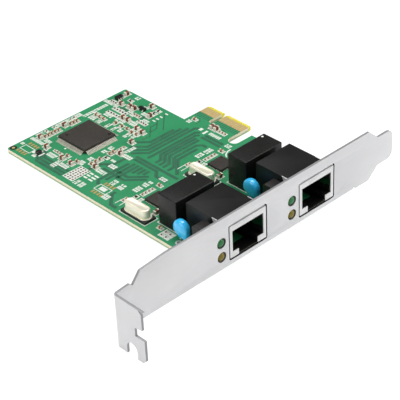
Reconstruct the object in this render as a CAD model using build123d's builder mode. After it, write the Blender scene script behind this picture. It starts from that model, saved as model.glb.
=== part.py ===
from build123d import *
import os

# Two-port network interface card for a one-lane expansion slot, in millimetres.
# The origin lies on the component face of the board, at the tip of the card edge and on the middle
# of its key notch. +X runs to the slot bracket, +Y out through the card edge, +Z out of the
# component face.

# Circuit board
BOARD_THICKNESS = 1.6
BOARD_REACH = 38.8  # key notch to the end away from the bracket
BOARD_DEPTH = 66.5  # card edge tip to the long outer edge
SHOULDER_DEPTH = 12.65  # card edge tip to the shoulder beside the card edge
ARM_DEPTH = 4.3  # card edge tip to the arm beside the bracket
BOARD_CORNER = 1.0
SLOT_WIDTH = 4.25  # round-ended slot between card edge and arm

# Card edge and its contacts
EDGE_LONG_SIDE = 12.15  # key notch to the side that faces the bracket
EDGE_SHORT_SIDE = 8.15
EDGE_CORNER = 0.6
BEVEL_LENGTH = 1.25
BEVEL_DROP = 0.45
KEY_WIDTH = 1.9
KEY_DEPTH = 8.25
CONTACT_PITCH = 1.0
CONTACT_WIDTH = 0.7
CONTACT_LENGTH = 3.9
CONTACT_THICKNESS = 0.05
KEY_TO_CONTACT = 1.5  # key notch to the middle of the first contact on either side
CONTACTS_LONG_SIDE = 11
CONTACTS_SHORT_SIDE = 7

# Slot bracket, one folded sheet
SHEET = 0.82
BRACKET_FACE = 60.8  # key notch to the outer face of the plate
BRACKET_TOP = 16.0
BRACKET_WIDTH = 18.42
BRACKET_END = 104.02  # card edge tip to the outer face of the tab
BEND_RADIUS = 0.5
EDGE_RELIEF = 0.3  # how far the lower edge is trimmed between its ends
TAIL_REACH = 16.0
TAIL_WIDTH = 10.6
TAIL_START = 4.4
TAIL_NECK = 8.8
TAIL_CORNER = 2.6
TRIM_END = 3.2  # card edge tip to the end of the trimmed stretch
NICK_WIDTH = 1.5
NICK_DEPTH = 0.6
TAB_REACH = 11.9  # outer face of the plate to the free edge
TAB_TOP = 12.1
TAB_HEIGHT = 18.65
TAB_CORNER = 1.2
UPPER_TAPER = 3.0  # length of the slope from the plate's top edge to the tab's
TAPER_TO_TAB = 7.0
SHOULDER_LENGTH = 10.0  # shallow fall of the top edge before that slope
SHOULDER_FALL = 0.8
RELIEF_LENGTH = 1.1  # small notch between the slope and the tab
RELIEF_DEPTH = 0.5
SCREW_SLOT_WIDTH = 4.42
SCREW_SLOT_DEPTH = 4.65
SCREW_SLOT_REACH = 6.15
SIDE_NOTCH_DEPTH = 3.9
SIDE_NOTCH_HEIGHT = 3.0
SIDE_NOTCH_FLARE = 0.5
SIDE_NOTCH_FLOOR = 1.8
UPPER_LOBE_STEP = 0.8
EAR_LENGTH = 9.0
EAR_WIDTH = 7.5
EAR_PLACES = (-38.2, -8.4)
EAR_HOLE_SETBACK = 5.2
SCREW_SIZE = 2.95
SCREW_CLEARANCE = 0.18
SCREW_HEAD = 5.4
SCREW_HEAD_HEIGHT = 1.9
SCREW_EDGE = 0.5
SCREW_RECESS = (3.0, 0.6, 1.0)  # length, width and depth of the cross
BOARD_TO_BRACKET = 0.28

# Ports
PORT_PITCH = 30.48
FIRST_PORT = -50.8
CUTOUT_WIDTH = 16.4
CUTOUT_FLOOR = -0.6
CUTOUT_TOP = 12.4
CUTOUT_CORNER = 0.8
LED_OFFSET = 11.2
LED_HEIGHTS = (2.4, 7.5)
LED_HOLE = 3.6

# Jack
JACK_WIDTH = 15.5
JACK_HEIGHT = 11.6
JACK_DEPTH = 19.0
SHIELD = 0.25
OPENING_WIDTH = 13.2
OPENING_FLOOR = 2.05
OPENING_TOP = 9.6
LATCH_WIDTH = 8.1
LATCH_FLOOR = 0.25
CAVITY_INSET = 0.3  # housing's cavity inside the shield's opening, on each side
CAVITY_DEPTH = 14.0
LATCH_DEPTH = 11.5
LATCH_WINDOW = (6.0, 6.0)  # length and width of the opening in the channel's floor
WINDOW_SETBACK = 5.0  # bracket face to that opening
FLANGE_DEPTH = 3.3
FLANGE_STRIP_DEPTH = 7.4
FLANGE_STRIP_HEIGHT = 1.4
TOP_FLANGE_DEPTH = 3.6
SPRING_HEIGHT = 2.6
SPRING_MIDDLE = 5.7
SPRING_REACH = 4.8
SPRING_BULGE = 0.7
SPRING_SHEET = 0.2
POCKET_CLEARANCE = 0.15
WIRE_PITCH = 1.02
WIRE_THICKNESS = 0.3
WIRE_DROP = 2.3
WIRE_COUNT = 8
TAIL_ROW_SETBACK = 14.3
TAIL_ROW_PITCH = 2.54
POST_SETBACK = 2.7
POST_WIDTH = 1.2
POST_CLEARANCE = 0.1

# Leads soldered on the back of the board
LEAD = 0.5
LEAD_STICKOUT = 1.1
SOLDER_FOOT = 1.2
SOLDER_TAPER = 0.3

# Transformer modules
MODULE_WIDTH = 8.3
MODULE_LENGTH = 16.8
MODULE_HEIGHT = 11.1
MODULE_EDGE = 0.3
MODULE_TO_JACK = 2.7
MODULE_SHIFT = -1.1  # middle of the module beyond the middle of its port
MODULE_PIN_PITCH = 1.27
MODULE_PINS = 12
MODULE_ROW_PITCH = 5.08

# Light holders
HOLDER_DEPTH = 9.6
HOLDER_WIDTH = 4.6
HOLDER_HEIGHT = 10.4
HOLDER_EDGE = 0.6
LED_DIAMETER = 3.0
LED_PROUD = 0.2
LED_LEAD_PITCH = 2.54

# Disc capacitors
DISC_DIAMETER = 6.2
DISC_THICKNESS = 3.3
DISC_RIM = 0.9
DISC_HEIGHT = 4.3
DISC_PLACE = 17.8  # bracket face to the middle of the disc
DISC_OFFSET = -10.95  # port to disc along the bracket
COAT_FLOOR = 0.7
COAT_LENGTH = 4.0
COAT_WIDTH = 1.6
COAT_SHIFT = 0.65
DISC_LEAD_PITCH = 2.54

# Controller groups, one for each port, each with its crystal
GROUP_PITCH = 28.0
FIRST_GROUP = -52.3
CONTROLLER_X = 21.95
CONTROLLER_SIDE = 6.3
CONTROLLER_HEIGHT = 0.95
CRYSTAL_X = 23.15
CRYSTAL_OFFSET = -9.85
CAN_LENGTH = 10.3
CAN_WIDTH = 3.6
CAN_TOP = 4.1
CAN_EDGE = 0.35
CAN_RIM = 0.4
CAN_RIM_THICKNESS = 0.35
CRYSTAL_BASE_LENGTH = 11.6
CRYSTAL_BASE_WIDTH = 4.8
CRYSTAL_BASE_HEIGHT = 0.75

# Bridge chip
BRIDGE_X = -23.4
BRIDGE_Y = -43.8
BRIDGE_SIDE = 14.0
BRIDGE_TOP = 1.65
BRIDGE_STANDOFF = 0.1
BRIDGE_EDGE = 0.15
BRIDGE_LEAD_PITCH = 0.5
BRIDGE_LEADS = 26
BRIDGE_LEAD_WIDTH = 0.24
BRIDGE_LEAD_THICKNESS = 0.15
BRIDGE_LEAD_REACH = 1.6
BRIDGE_FOOT = 0.8

# Small outline parts
SMALL_HEIGHT = 1.1
SMALL_STANDOFF = 0.1
SMALL_LEAD = (0.4, 0.65)
REGULATOR_PLACE = (-35.5, -18.7)
REGULATOR_BODY = (1.6, 2.9)
REGULATOR_PITCH = 0.95
TRANSISTOR_PLACE = (-23.5, -18.3)
TRANSISTOR_BODY = (2.9, 1.3)
TRANSISTOR_PITCH = 1.9
DIODE_PLACE = (-28.3, -61.0)
DIODE_BODY = (1.7, 2.1)
DIODE_HEIGHT = 0.95
DIODE_CORNER = 0.35
DIODE_TAB = (0.9, 0.8)
TAB_THICKNESS = 0.25

# Chip parts: length, width and height
LARGE_CHIP = (2.0, 1.25, 1.25)
MIDDLE_CHIP = (1.6, 0.8, 0.8)
SMALL_CHIP = (1.0, 0.5, 0.5)
MIDDLE_RESISTOR = (1.6, 0.8, 0.45)
SMALL_RESISTOR = (1.0, 0.5, 0.35)

# Sizes worked out from the ones above
BRACKET_INSIDE = BRACKET_FACE - SHEET
BOARD_END = BRACKET_INSIDE - BOARD_TO_BRACKET
BRACKET_FLOOR = BRACKET_TOP - BRACKET_WIDTH
BRACKET_MIDDLE = BRACKET_TOP - BRACKET_WIDTH / 2
PORTS = (FIRST_PORT, FIRST_PORT + PORT_PITCH)
GROUPS = (FIRST_GROUP, FIRST_GROUP + GROUP_PITCH)
SHIELD_BACK = BRACKET_FACE - SHIELD
JACK_BACK = BRACKET_FACE - JACK_DEPTH
CAVITY_WIDTH = OPENING_WIDTH - 2 * CAVITY_INSET
CAVITY_TOP = OPENING_TOP - CAVITY_INSET
CAVITY_FLOOR = OPENING_FLOOR + CAVITY_INSET / 2
MODULE_X = JACK_BACK - MODULE_TO_JACK - MODULE_WIDTH / 2
HOLDER_X = BRACKET_INSIDE - HOLDER_DEPTH / 2
DISC_X = BRACKET_FACE - DISC_PLACE
COAT_X = DISC_X + COAT_SHIFT
WIRES = range(WIRE_COUNT)
WIRE_START = -(WIRE_COUNT - 1) * WIRE_PITCH / 2
EAR_SCREW_X = BRACKET_INSIDE - EAR_HOLE_SETBACK

os.makedirs("parts", exist_ok=True)


def level(z, x=0.0, y=0.0):
    """A plane parallel to the board, seen from the component side."""
    return Plane(origin=(x, y, z), x_dir=(1, 0, 0), z_dir=(0, 0, 1))


def upright(x, y=0.0):
    """A plane parallel to the bracket plate: its own x runs along +Y, its own y along +Z."""
    return Plane(origin=(x, y, 0), x_dir=(0, 1, 0), z_dir=(1, 0, 0))


def sideways(y):
    """A plane across the bracket plate: its own x runs along +X, its own y along +Z."""
    return Plane(origin=(0, y, 0), x_dir=(1, 0, 0), z_dir=(0, -1, 0))


def row(x, y, count=1, dx=0.0, dy=0.0, turn=0.0):
    """Places of a straight row of chip parts on the board, turned about +Z by turn degrees."""
    return [Location((x + k * dx, y + k * dy, 0), turn) for k in range(count)]


def tail_places():
    """Two staggered rows of jack leads, measured from the middle of the jack at the bracket face."""
    return [(-TAIL_ROW_SETBACK - (k % 2) * TAIL_ROW_PITCH, WIRE_START + k * WIRE_PITCH) for k in WIRES]


def jack_lead_places():
    """Every jack lead on the board."""
    return [(BRACKET_FACE + x, port + y) for port in PORTS for x, y in tail_places()]


def light_lead_places():
    """Four leads under each light holder."""
    half = LED_LEAD_PITCH / 2
    spots = [(HOLDER_X + side * half, -LED_OFFSET + end * half) for side in (-2, 0) for end in (-1, 1)]
    return [(x, port + y) for port in PORTS for x, y in spots]


def disc_lead_places():
    """Two leads under each disc capacitor."""
    half = DISC_LEAD_PITCH / 2
    return [(COAT_X + side * half, port + DISC_OFFSET) for port in PORTS for side in (-1, 1)]


def post_places():
    """The two shield posts of each jack."""
    reach = JACK_WIDTH / 2 - SHIELD / 2
    return [(BRACKET_FACE - POST_SETBACK, port + side * reach) for port in PORTS for side in (-1, 1)]


def module_pin_places():
    """The two rows of pins under each transformer module."""
    start = -(MODULE_PINS - 1) * MODULE_PIN_PITCH / 2
    return [
        (MODULE_X + side * MODULE_ROW_PITCH / 2, port + MODULE_SHIFT + start + k * MODULE_PIN_PITCH)
        for port in PORTS
        for side in (-1, 1)
        for k in range(MODULE_PINS)
    ]


def joint_places():
    """Every lead and pin that is soldered on the back of the board."""
    return jack_lead_places() + light_lead_places() + disc_lead_places() + module_pin_places()


# Circuit board: main field, card edge, arm and the round-ended slot between the last two
with BuildPart() as circuit_board:
    with BuildSketch(level(-BOARD_THICKNESS)) as outline:
        with Locations((-BOARD_REACH, -BOARD_DEPTH)):
            Rectangle(BOARD_REACH + BOARD_END, BOARD_DEPTH - SHOULDER_DEPTH, align=Align.MIN)
        fillet(outline.vertices().group_by(Axis.X)[0], BOARD_CORNER)
        with Locations((-EDGE_SHORT_SIDE, -SHOULDER_DEPTH)):
            Rectangle(EDGE_SHORT_SIDE + EDGE_LONG_SIDE, SHOULDER_DEPTH, align=Align.MIN)
        with Locations((EDGE_LONG_SIDE + SLOT_WIDTH, -SHOULDER_DEPTH)):
            Rectangle(BOARD_END - EDGE_LONG_SIDE - SLOT_WIDTH, SHOULDER_DEPTH - ARM_DEPTH, align=Align.MIN)
        with Locations((EDGE_LONG_SIDE, -SHOULDER_DEPTH)):
            Rectangle(SLOT_WIDTH, SLOT_WIDTH / 2, align=Align.MIN)
        with Locations((EDGE_LONG_SIDE + SLOT_WIDTH / 2, SLOT_WIDTH / 2 - SHOULDER_DEPTH)):
            Circle(SLOT_WIDTH / 2, mode=Mode.SUBTRACT)
        with Locations((0, KEY_WIDTH / 2 - KEY_DEPTH)):
            Circle(KEY_WIDTH / 2, mode=Mode.SUBTRACT)
            Rectangle(KEY_WIDTH, KEY_DEPTH, align=(Align.CENTER, Align.MIN), mode=Mode.SUBTRACT)
    extrude(amount=BOARD_THICKNESS)
    edge_tips = circuit_board.edges().filter_by(Axis.Z).group_by(Axis.Y)[-1]
    chamfer(edge_tips.sort_by(Axis.X)[0], EDGE_CORNER)
    edge_tips = circuit_board.edges().filter_by(Axis.Z).group_by(Axis.Y)[-1]
    chamfer(edge_tips.sort_by(Axis.X)[-1], EDGE_CORNER)
    with BuildSketch(Plane.YZ) as bevels:
        for face, side in ((0, -1), (-BOARD_THICKNESS, 1)):
            with BuildLine():
                Polyline((0, face), (-BEVEL_LENGTH, face), (0, face + side * BEVEL_DROP), close=True)
            make_face()
    extrude(amount=EDGE_LONG_SIDE, both=True, mode=Mode.SUBTRACT)
    with BuildSketch(level(0)) as holes:
        with Locations(*post_places()):
            Rectangle(POST_WIDTH + 2 * POST_CLEARANCE, SHIELD + 2 * POST_CLEARANCE)
        with Locations(*[(EAR_SCREW_X, y) for y in EAR_PLACES]):
            Circle(SCREW_SIZE / 2 + SCREW_CLEARANCE)
    extrude(amount=-BOARD_THICKNESS, mode=Mode.SUBTRACT)
circuit_board.part.label = "circuit_board"
export_step(circuit_board.part, "parts/circuit_board.step")


# Contacts of the card edge: one row of pads on each face, parted by the key notch
def contact_row(face, side):
    """Pads on one face of the card edge; side is 1 on the component face and -1 on the other."""
    with BuildPart() as pads:
        with BuildSketch(level(face)):
            for count, way in ((CONTACTS_LONG_SIDE, 1), (CONTACTS_SHORT_SIDE, -1)):
                places = [(way * (KEY_TO_CONTACT + k * CONTACT_PITCH), -BEVEL_LENGTH) for k in range(count)]
                with Locations(*places):
                    Rectangle(CONTACT_WIDTH, CONTACT_LENGTH, align=(Align.CENTER, Align.MAX))
        extrude(amount=side * CONTACT_THICKNESS)
    return pads


for name, pads in (
    ("edge_contacts_top", contact_row(0, 1)),
    ("edge_contacts_bottom", contact_row(-BOARD_THICKNESS, -1)),
):
    pads.part.label = name
    export_step(pads.part, f"parts/{name}.step")


# Slot bracket: an L of folded sheet trimmed to the plate's outline, the tab's and the openings
with BuildPart() as bracket:
    with BuildSketch(level(BRACKET_TOP)) as fold:
        with Locations((BRACKET_INSIDE, -BRACKET_END)):
            Rectangle(SHEET, BRACKET_END + TAIL_REACH, align=Align.MIN)
            Rectangle(SHEET + TAB_REACH, SHEET, align=Align.MIN)
        inside_corner = fold.vertices().sort_by_distance((BRACKET_FACE, SHEET - BRACKET_END))[0]
        fillet(inside_corner, BEND_RADIUS)
        outside_corner = fold.vertices().sort_by_distance((BRACKET_INSIDE, -BRACKET_END))[0]
        fillet(outside_corner, BEND_RADIUS + SHEET)
    extrude(amount=TAB_TOP - TAB_HEIGHT - BRACKET_TOP)
    with BuildSketch(upright(BRACKET_INSIDE)) as plate:
        with BuildLine():
            tab_floor = TAB_TOP - TAB_HEIGHT
            wide_end = SHEET + BEND_RADIUS - BRACKET_END
            trimmed = BRACKET_FLOOR + EDGE_RELIEF
            Polyline(
                (-BRACKET_END, tab_floor),
                (wide_end, tab_floor),
                (trimmed - tab_floor + wide_end, trimmed),
                (-TRIM_END, trimmed),
                (-TRIM_END + NICK_WIDTH / 2, trimmed + NICK_DEPTH),
                (-TRIM_END + NICK_WIDTH, BRACKET_FLOOR),
                (TAIL_START, BRACKET_FLOOR),
                (TAIL_NECK, BRACKET_MIDDLE - TAIL_WIDTH / 2),
                (TAIL_REACH, BRACKET_MIDDLE - TAIL_WIDTH / 2),
                (TAIL_REACH, BRACKET_MIDDLE + TAIL_WIDTH / 2),
                (TAIL_NECK, BRACKET_MIDDLE + TAIL_WIDTH / 2),
                (TAIL_START, BRACKET_TOP),
                (TAPER_TO_TAB + UPPER_TAPER + SHOULDER_LENGTH - BRACKET_END, BRACKET_TOP),
                (TAPER_TO_TAB + UPPER_TAPER - BRACKET_END, BRACKET_TOP - SHOULDER_FALL),
                (TAPER_TO_TAB - BRACKET_END, TAB_TOP - RELIEF_DEPTH),
                (TAPER_TO_TAB - RELIEF_LENGTH - BRACKET_END, TAB_TOP + RELIEF_DEPTH),
                (-BRACKET_END, TAB_TOP),
                close=True,
            )
        make_face()
        fillet(plate.vertices().group_by(Axis.X)[-1], TAIL_CORNER)
        for port in PORTS:
            with Locations((port, (CUTOUT_FLOOR + CUTOUT_TOP) / 2)):
                RectangleRounded(CUTOUT_WIDTH, CUTOUT_TOP - CUTOUT_FLOOR, CUTOUT_CORNER, mode=Mode.SUBTRACT)
            with Locations(*[(port - LED_OFFSET, height) for height in LED_HEIGHTS]):
                Circle(LED_HOLE / 2, mode=Mode.SUBTRACT)
    extrude(amount=SHEET + TAB_REACH, mode=Mode.INTERSECT)
    with BuildSketch(sideways(-BRACKET_END)) as tab_cuts:
        free_edge = BRACKET_FACE + TAB_REACH
        with Locations((BRACKET_FACE + SCREW_SLOT_REACH, TAB_TOP - TAB_HEIGHT)):
            Rectangle(SCREW_SLOT_WIDTH, SCREW_SLOT_DEPTH - SCREW_SLOT_WIDTH / 2, align=(Align.CENTER, Align.MIN))
        with Locations((BRACKET_FACE + SCREW_SLOT_REACH, tab_floor + SCREW_SLOT_DEPTH - SCREW_SLOT_WIDTH / 2)):
            Circle(SCREW_SLOT_WIDTH / 2)
        with BuildLine():
            notch_top = SIDE_NOTCH_FLOOR + SIDE_NOTCH_HEIGHT
            Polyline(
                (free_edge, SIDE_NOTCH_FLOOR),
                (free_edge - SIDE_NOTCH_DEPTH, SIDE_NOTCH_FLOOR),
                (free_edge - SIDE_NOTCH_DEPTH, notch_top),
                (free_edge - UPPER_LOBE_STEP, notch_top + SIDE_NOTCH_FLARE),
                (free_edge - UPPER_LOBE_STEP, TAB_TOP - TAB_CORNER),
                (free_edge - UPPER_LOBE_STEP - TAB_CORNER, TAB_TOP),
                (free_edge, TAB_TOP),
                close=True,
            )
        make_face()
        with BuildLine():
            Polyline(
                (free_edge, tab_floor),
                (free_edge - TAB_CORNER, tab_floor),
                (free_edge, tab_floor + TAB_CORNER),
                close=True,
            )
        make_face()
    extrude(amount=-SHEET, mode=Mode.SUBTRACT)
    # Two ears fold under the board and carry the tapped holes of its screws
    with BuildSketch(*[sideways(y + EAR_WIDTH / 2) for y in EAR_PLACES]) as ears:
        with BuildLine():
            ear_floor = -BOARD_THICKNESS - SHEET
            ear_start = BRACKET_INSIDE - EAR_LENGTH
            Polyline(
                (ear_start, ear_floor),
                (BRACKET_FACE - BEND_RADIUS, ear_floor),
                (BRACKET_FACE, ear_floor + BEND_RADIUS),
                (BRACKET_FACE, CUTOUT_FLOOR - BEND_RADIUS),
                (BRACKET_INSIDE, CUTOUT_FLOOR - BEND_RADIUS),
                (BRACKET_INSIDE, -BOARD_THICKNESS),
                (ear_start, -BOARD_THICKNESS),
                close=True,
            )
        make_face()
    extrude(amount=EAR_WIDTH)
    with BuildSketch(level(-BOARD_THICKNESS)) as tapped_holes:
        with Locations(*[(EAR_SCREW_X, y) for y in EAR_PLACES]):
            Circle(SCREW_SIZE / 2)
    extrude(amount=-SHEET, mode=Mode.SUBTRACT)
bracket.part.label = "bracket"
export_step(bracket.part, "parts/bracket.step")

# Screws through the board into the bracket's ears
with BuildPart() as bracket_screws:
    with BuildSketch(level(0)) as heads:
        with Locations(*[(EAR_SCREW_X, y) for y in EAR_PLACES]):
            Circle(SCREW_HEAD / 2)
    extrude(amount=SCREW_HEAD_HEIGHT)
    chamfer(bracket_screws.edges().group_by(Axis.Z)[-1], SCREW_EDGE)
    with BuildSketch(level(SCREW_HEAD_HEIGHT)) as recesses:
        with Locations(*[(EAR_SCREW_X, y) for y in EAR_PLACES]):
            Rectangle(SCREW_RECESS[0], SCREW_RECESS[1])
            Rectangle(SCREW_RECESS[1], SCREW_RECESS[0])
    extrude(amount=-SCREW_RECESS[2], mode=Mode.SUBTRACT)
    with BuildSketch(level(0)) as shanks:
        with Locations(*[(EAR_SCREW_X, y) for y in EAR_PLACES]):
            Circle(SCREW_SIZE / 2)
    extrude(amount=-BOARD_THICKNESS - SHEET)
bracket_screws.part.label = "bracket_screws"
export_step(bracket_screws.part, "parts/bracket_screws.step")


# Jack: moulded housing with its plug cavity, front shield and spring wires
def flange_outline():
    """Side flange of the shield: a full-height band at the front and a strip along the top edge."""
    return Polyline(
        (SHIELD_BACK, 0),
        (SHIELD_BACK, JACK_HEIGHT),
        (SHIELD_BACK - FLANGE_STRIP_DEPTH, JACK_HEIGHT),
        (SHIELD_BACK - FLANGE_STRIP_DEPTH + FLANGE_STRIP_HEIGHT / 2, JACK_HEIGHT - FLANGE_STRIP_HEIGHT),
        (SHIELD_BACK - FLANGE_DEPTH, JACK_HEIGHT - FLANGE_STRIP_HEIGHT),
        (SHIELD_BACK - FLANGE_DEPTH, 0),
        close=True,
    )


def jack_housing(port):
    """Black housing of one jack, cut back where the shield wraps round it."""
    with BuildPart() as housing:
        with BuildSketch(upright(JACK_BACK, port)):
            Rectangle(JACK_WIDTH, JACK_HEIGHT, align=(Align.CENTER, Align.MIN))
        extrude(amount=SHIELD_BACK - JACK_BACK)
        with BuildSketch(sideways(port - JACK_WIDTH / 2 + SHIELD)):
            with BuildLine():
                flange_outline()
            make_face()
        extrude(amount=SHIELD, mode=Mode.SUBTRACT)
        with BuildSketch(sideways(port + JACK_WIDTH / 2)):
            with BuildLine():
                flange_outline()
            make_face()
        extrude(amount=SHIELD, mode=Mode.SUBTRACT)
        with BuildSketch(level(JACK_HEIGHT, SHIELD_BACK, port)):
            Rectangle(TOP_FLANGE_DEPTH, JACK_WIDTH, align=(Align.MAX, Align.CENTER))
        extrude(amount=-SHIELD, mode=Mode.SUBTRACT)
        with BuildSketch(upright(SHIELD_BACK, port)):
            with Locations((0, CAVITY_FLOOR)):
                Rectangle(CAVITY_WIDTH, CAVITY_TOP - CAVITY_FLOOR, align=(Align.CENTER, Align.MIN))
        extrude(amount=-CAVITY_DEPTH, mode=Mode.SUBTRACT)
        with BuildSketch(upright(SHIELD_BACK, port)):
            with Locations((0, LATCH_FLOOR)):
                Rectangle(LATCH_WIDTH, CAVITY_FLOOR - LATCH_FLOOR, align=(Align.CENTER, Align.MIN))
        extrude(amount=-LATCH_DEPTH, mode=Mode.SUBTRACT)
        with BuildSketch(level(0, BRACKET_FACE - WINDOW_SETBACK, port)):
            Rectangle(*LATCH_WINDOW, align=(Align.MAX, Align.CENTER))
        extrude(amount=LATCH_FLOOR, mode=Mode.SUBTRACT)
        with BuildSketch(upright(SHIELD_BACK, port)):
            with Locations((0, SPRING_MIDDLE)):
                Rectangle(OPENING_WIDTH + 4 * POCKET_CLEARANCE, SPRING_HEIGHT + 2 * POCKET_CLEARANCE)
        extrude(amount=-SPRING_REACH - POCKET_CLEARANCE, mode=Mode.SUBTRACT)
    return housing


def jack_shield(port):
    """Tin-plated front of one jack, with its flanges, side springs and posts."""
    with BuildPart() as shield:
        with BuildSketch(upright(SHIELD_BACK, port)):
            Rectangle(JACK_WIDTH, JACK_HEIGHT, align=(Align.CENTER, Align.MIN))
            with Locations((0, OPENING_FLOOR)):
                height = OPENING_TOP - OPENING_FLOOR
                Rectangle(OPENING_WIDTH, height, align=(Align.CENTER, Align.MIN), mode=Mode.SUBTRACT)
            with Locations((0, 0)):
                Rectangle(LATCH_WIDTH, OPENING_FLOOR, align=(Align.CENTER, Align.MIN), mode=Mode.SUBTRACT)
        extrude(amount=SHIELD)
        for edge in (port - JACK_WIDTH / 2 + SHIELD, port + JACK_WIDTH / 2):
            with BuildSketch(sideways(edge)):
                with BuildLine():
                    flange_outline()
                make_face()
            extrude(amount=SHIELD)
        with BuildSketch(level(JACK_HEIGHT, SHIELD_BACK, port)):
            Rectangle(TOP_FLANGE_DEPTH, JACK_WIDTH, align=(Align.MAX, Align.CENTER))
        extrude(amount=-SHIELD)
        with BuildSketch(level(SPRING_MIDDLE - SPRING_HEIGHT / 2, SHIELD_BACK, port)) as springs:
            side = OPENING_WIDTH / 2
            with BuildLine():
                Polyline(
                    (0, side),
                    (SHIELD / 2, side),
                    (SHIELD / 2, side + SPRING_SHEET),
                    (0, side + SPRING_SHEET),
                    (-SPRING_REACH * 0.7, side + SPRING_SHEET - SPRING_BULGE),
                    (-SPRING_REACH, side + SPRING_SHEET - SPRING_BULGE / 2),
                    (-SPRING_REACH, side - SPRING_BULGE / 2),
                    (-SPRING_REACH * 0.7, side - SPRING_BULGE),
                    close=True,
                )
            make_face()
            mirror(about=Plane.XZ)
        extrude(amount=SPRING_HEIGHT)
        with BuildSketch(level(0, BRACKET_FACE - POST_SETBACK, port)):
            with GridLocations(1, JACK_WIDTH - SHIELD, 1, 2):
                Rectangle(POST_WIDTH, SHIELD)
        extrude(amount=-BOARD_THICKNESS - LEAD_STICKOUT)
    return shield


def jack_contacts(port):
    """Spring wires that hang from the roof of one cavity."""
    with BuildPart() as contacts:
        planes = [sideways(port + WIRE_START + k * WIRE_PITCH + WIRE_THICKNESS / 2) for k in WIRES]
        with BuildSketch(*planes):
            with BuildLine():
                front = SHIELD_BACK - 2.2
                knee = CAVITY_TOP - 0.5
                back = SHIELD_BACK - CAVITY_DEPTH + 1.6
                half = WIRE_THICKNESS / 2
                Polyline(
                    (front - half, CAVITY_TOP),
                    (front - half, knee),
                    (back + 2.4, CAVITY_TOP - WIRE_DROP + half),
                    (back, CAVITY_TOP - WIRE_DROP + 0.9),
                    (back, CAVITY_TOP - WIRE_DROP + 0.9 - WIRE_THICKNESS),
                    (back + 2.4, CAVITY_TOP - WIRE_DROP - half),
                    (front + half, knee - WIRE_THICKNESS),
                    (front + half, CAVITY_TOP),
                    close=True,
                )
            make_face()
        extrude(amount=WIRE_THICKNESS)
    return contacts


for number, port in enumerate(PORTS, start=1):
    housing = jack_housing(port)
    housing.part.label = f"jack_housing_{number}"
    export_step(housing.part, f"parts/jack_housing_{number}.step")
    shield = jack_shield(port)
    shield.part.label = f"jack_shield_{number}"
    export_step(shield.part, f"parts/jack_shield_{number}.step")
    contacts = jack_contacts(port)
    contacts.part.label = f"jack_contacts_{number}"
    export_step(contacts.part, f"parts/jack_contacts_{number}.step")


# Transformer modules behind the jacks
for number, port in enumerate(PORTS, start=1):
    with BuildPart() as module:
        with BuildSketch(level(0, MODULE_X, port + MODULE_SHIFT)):
            Rectangle(MODULE_WIDTH, MODULE_LENGTH)
        extrude(amount=MODULE_HEIGHT)
        upper_edges = module.edges().filter_by(Axis.Z) + module.edges().group_by(Axis.Z)[-1]
        chamfer(upper_edges, MODULE_EDGE)
    module.part.label = f"transformer_module_{number}"
    export_step(module.part, f"parts/transformer_module_{number}.step")


# Light holders with two lights each, one above the other behind the bracket's round holes
def light(port, height):
    """Lens of one light, from the face of its holder to just proud of the bracket."""
    with BuildPart() as lens:
        with BuildSketch(upright(BRACKET_INSIDE, port - LED_OFFSET)):
            with Locations((0, height)):
                Circle(LED_DIAMETER / 2)
        extrude(amount=SHEET + LED_PROUD)
    return lens


for number, port in enumerate(PORTS, start=1):
    with BuildPart() as holder:
        with BuildSketch(level(0, HOLDER_X, port - LED_OFFSET)):
            Rectangle(HOLDER_DEPTH, HOLDER_WIDTH)
        extrude(amount=HOLDER_HEIGHT)
        chamfer(holder.edges().group_by(Axis.Z)[-1].sort_by(Axis.X)[0], HOLDER_EDGE)
    holder.part.label = f"light_holder_{number}"
    export_step(holder.part, f"parts/light_holder_{number}.step")
    for colour, height in zip(("yellow", "green"), LED_HEIGHTS):
        lens = light(port, height)
        lens.part.label = f"light_{colour}_{number}"
        export_step(lens.part, f"parts/light_{colour}_{number}.step")


# Disc capacitors: a domed disc on edge, whose coating runs down on to its two leads
def disc_capacitor(port):
    """Coated disc of one capacitor."""
    middle = port + DISC_OFFSET
    with BuildPart() as disc:
        with BuildSketch(sideways(middle + DISC_THICKNESS / 2)):
            with Locations((DISC_X, DISC_HEIGHT)):
                Circle(DISC_DIAMETER / 2)
        extrude(amount=DISC_THICKNESS)
        chamfer(disc.edges().filter_by(GeomType.CIRCLE), DISC_RIM)
        top = DISC_HEIGHT - DISC_DIAMETER / 4
        with BuildSketch(level(top, DISC_X, middle)):
            Rectangle(COAT_LENGTH, DISC_THICKNESS - DISC_RIM)
        with BuildSketch(level(COAT_FLOOR, COAT_X, middle)):
            Rectangle(COAT_LENGTH, COAT_WIDTH)
        loft(ruled=True)
    return disc


for number, port in enumerate(PORTS, start=1):
    disc = disc_capacitor(port)
    disc.part.label = f"disc_capacitor_{number}"
    export_step(disc.part, f"parts/disc_capacitor_{number}.step")

# Leads of the disc capacitors, from the coating down to the board
with BuildPart() as disc_leads:
    with BuildSketch(level(0)):
        with Locations(*disc_lead_places()):
            Rectangle(LEAD, LEAD)
    extrude(amount=COAT_FLOOR)
disc_leads.part.label = "disc_leads"
export_step(disc_leads.part, "parts/disc_leads.step")

# Solder on the back of the board, one joint round the end of each lead and pin
with BuildPart() as solder_joints:
    with Locations(*[(x, y, -BOARD_THICKNESS - LEAD_STICKOUT / 2) for x, y in joint_places()]):
        far = SOLDER_FOOT - SOLDER_TAPER
        Wedge(SOLDER_FOOT, LEAD_STICKOUT, SOLDER_FOOT, SOLDER_TAPER, SOLDER_TAPER, far, far, rotation=(-90, 0, 0))
solder_joints.part.label = "solder_joints"
export_step(solder_joints.part, "parts/solder_joints.step")


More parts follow.
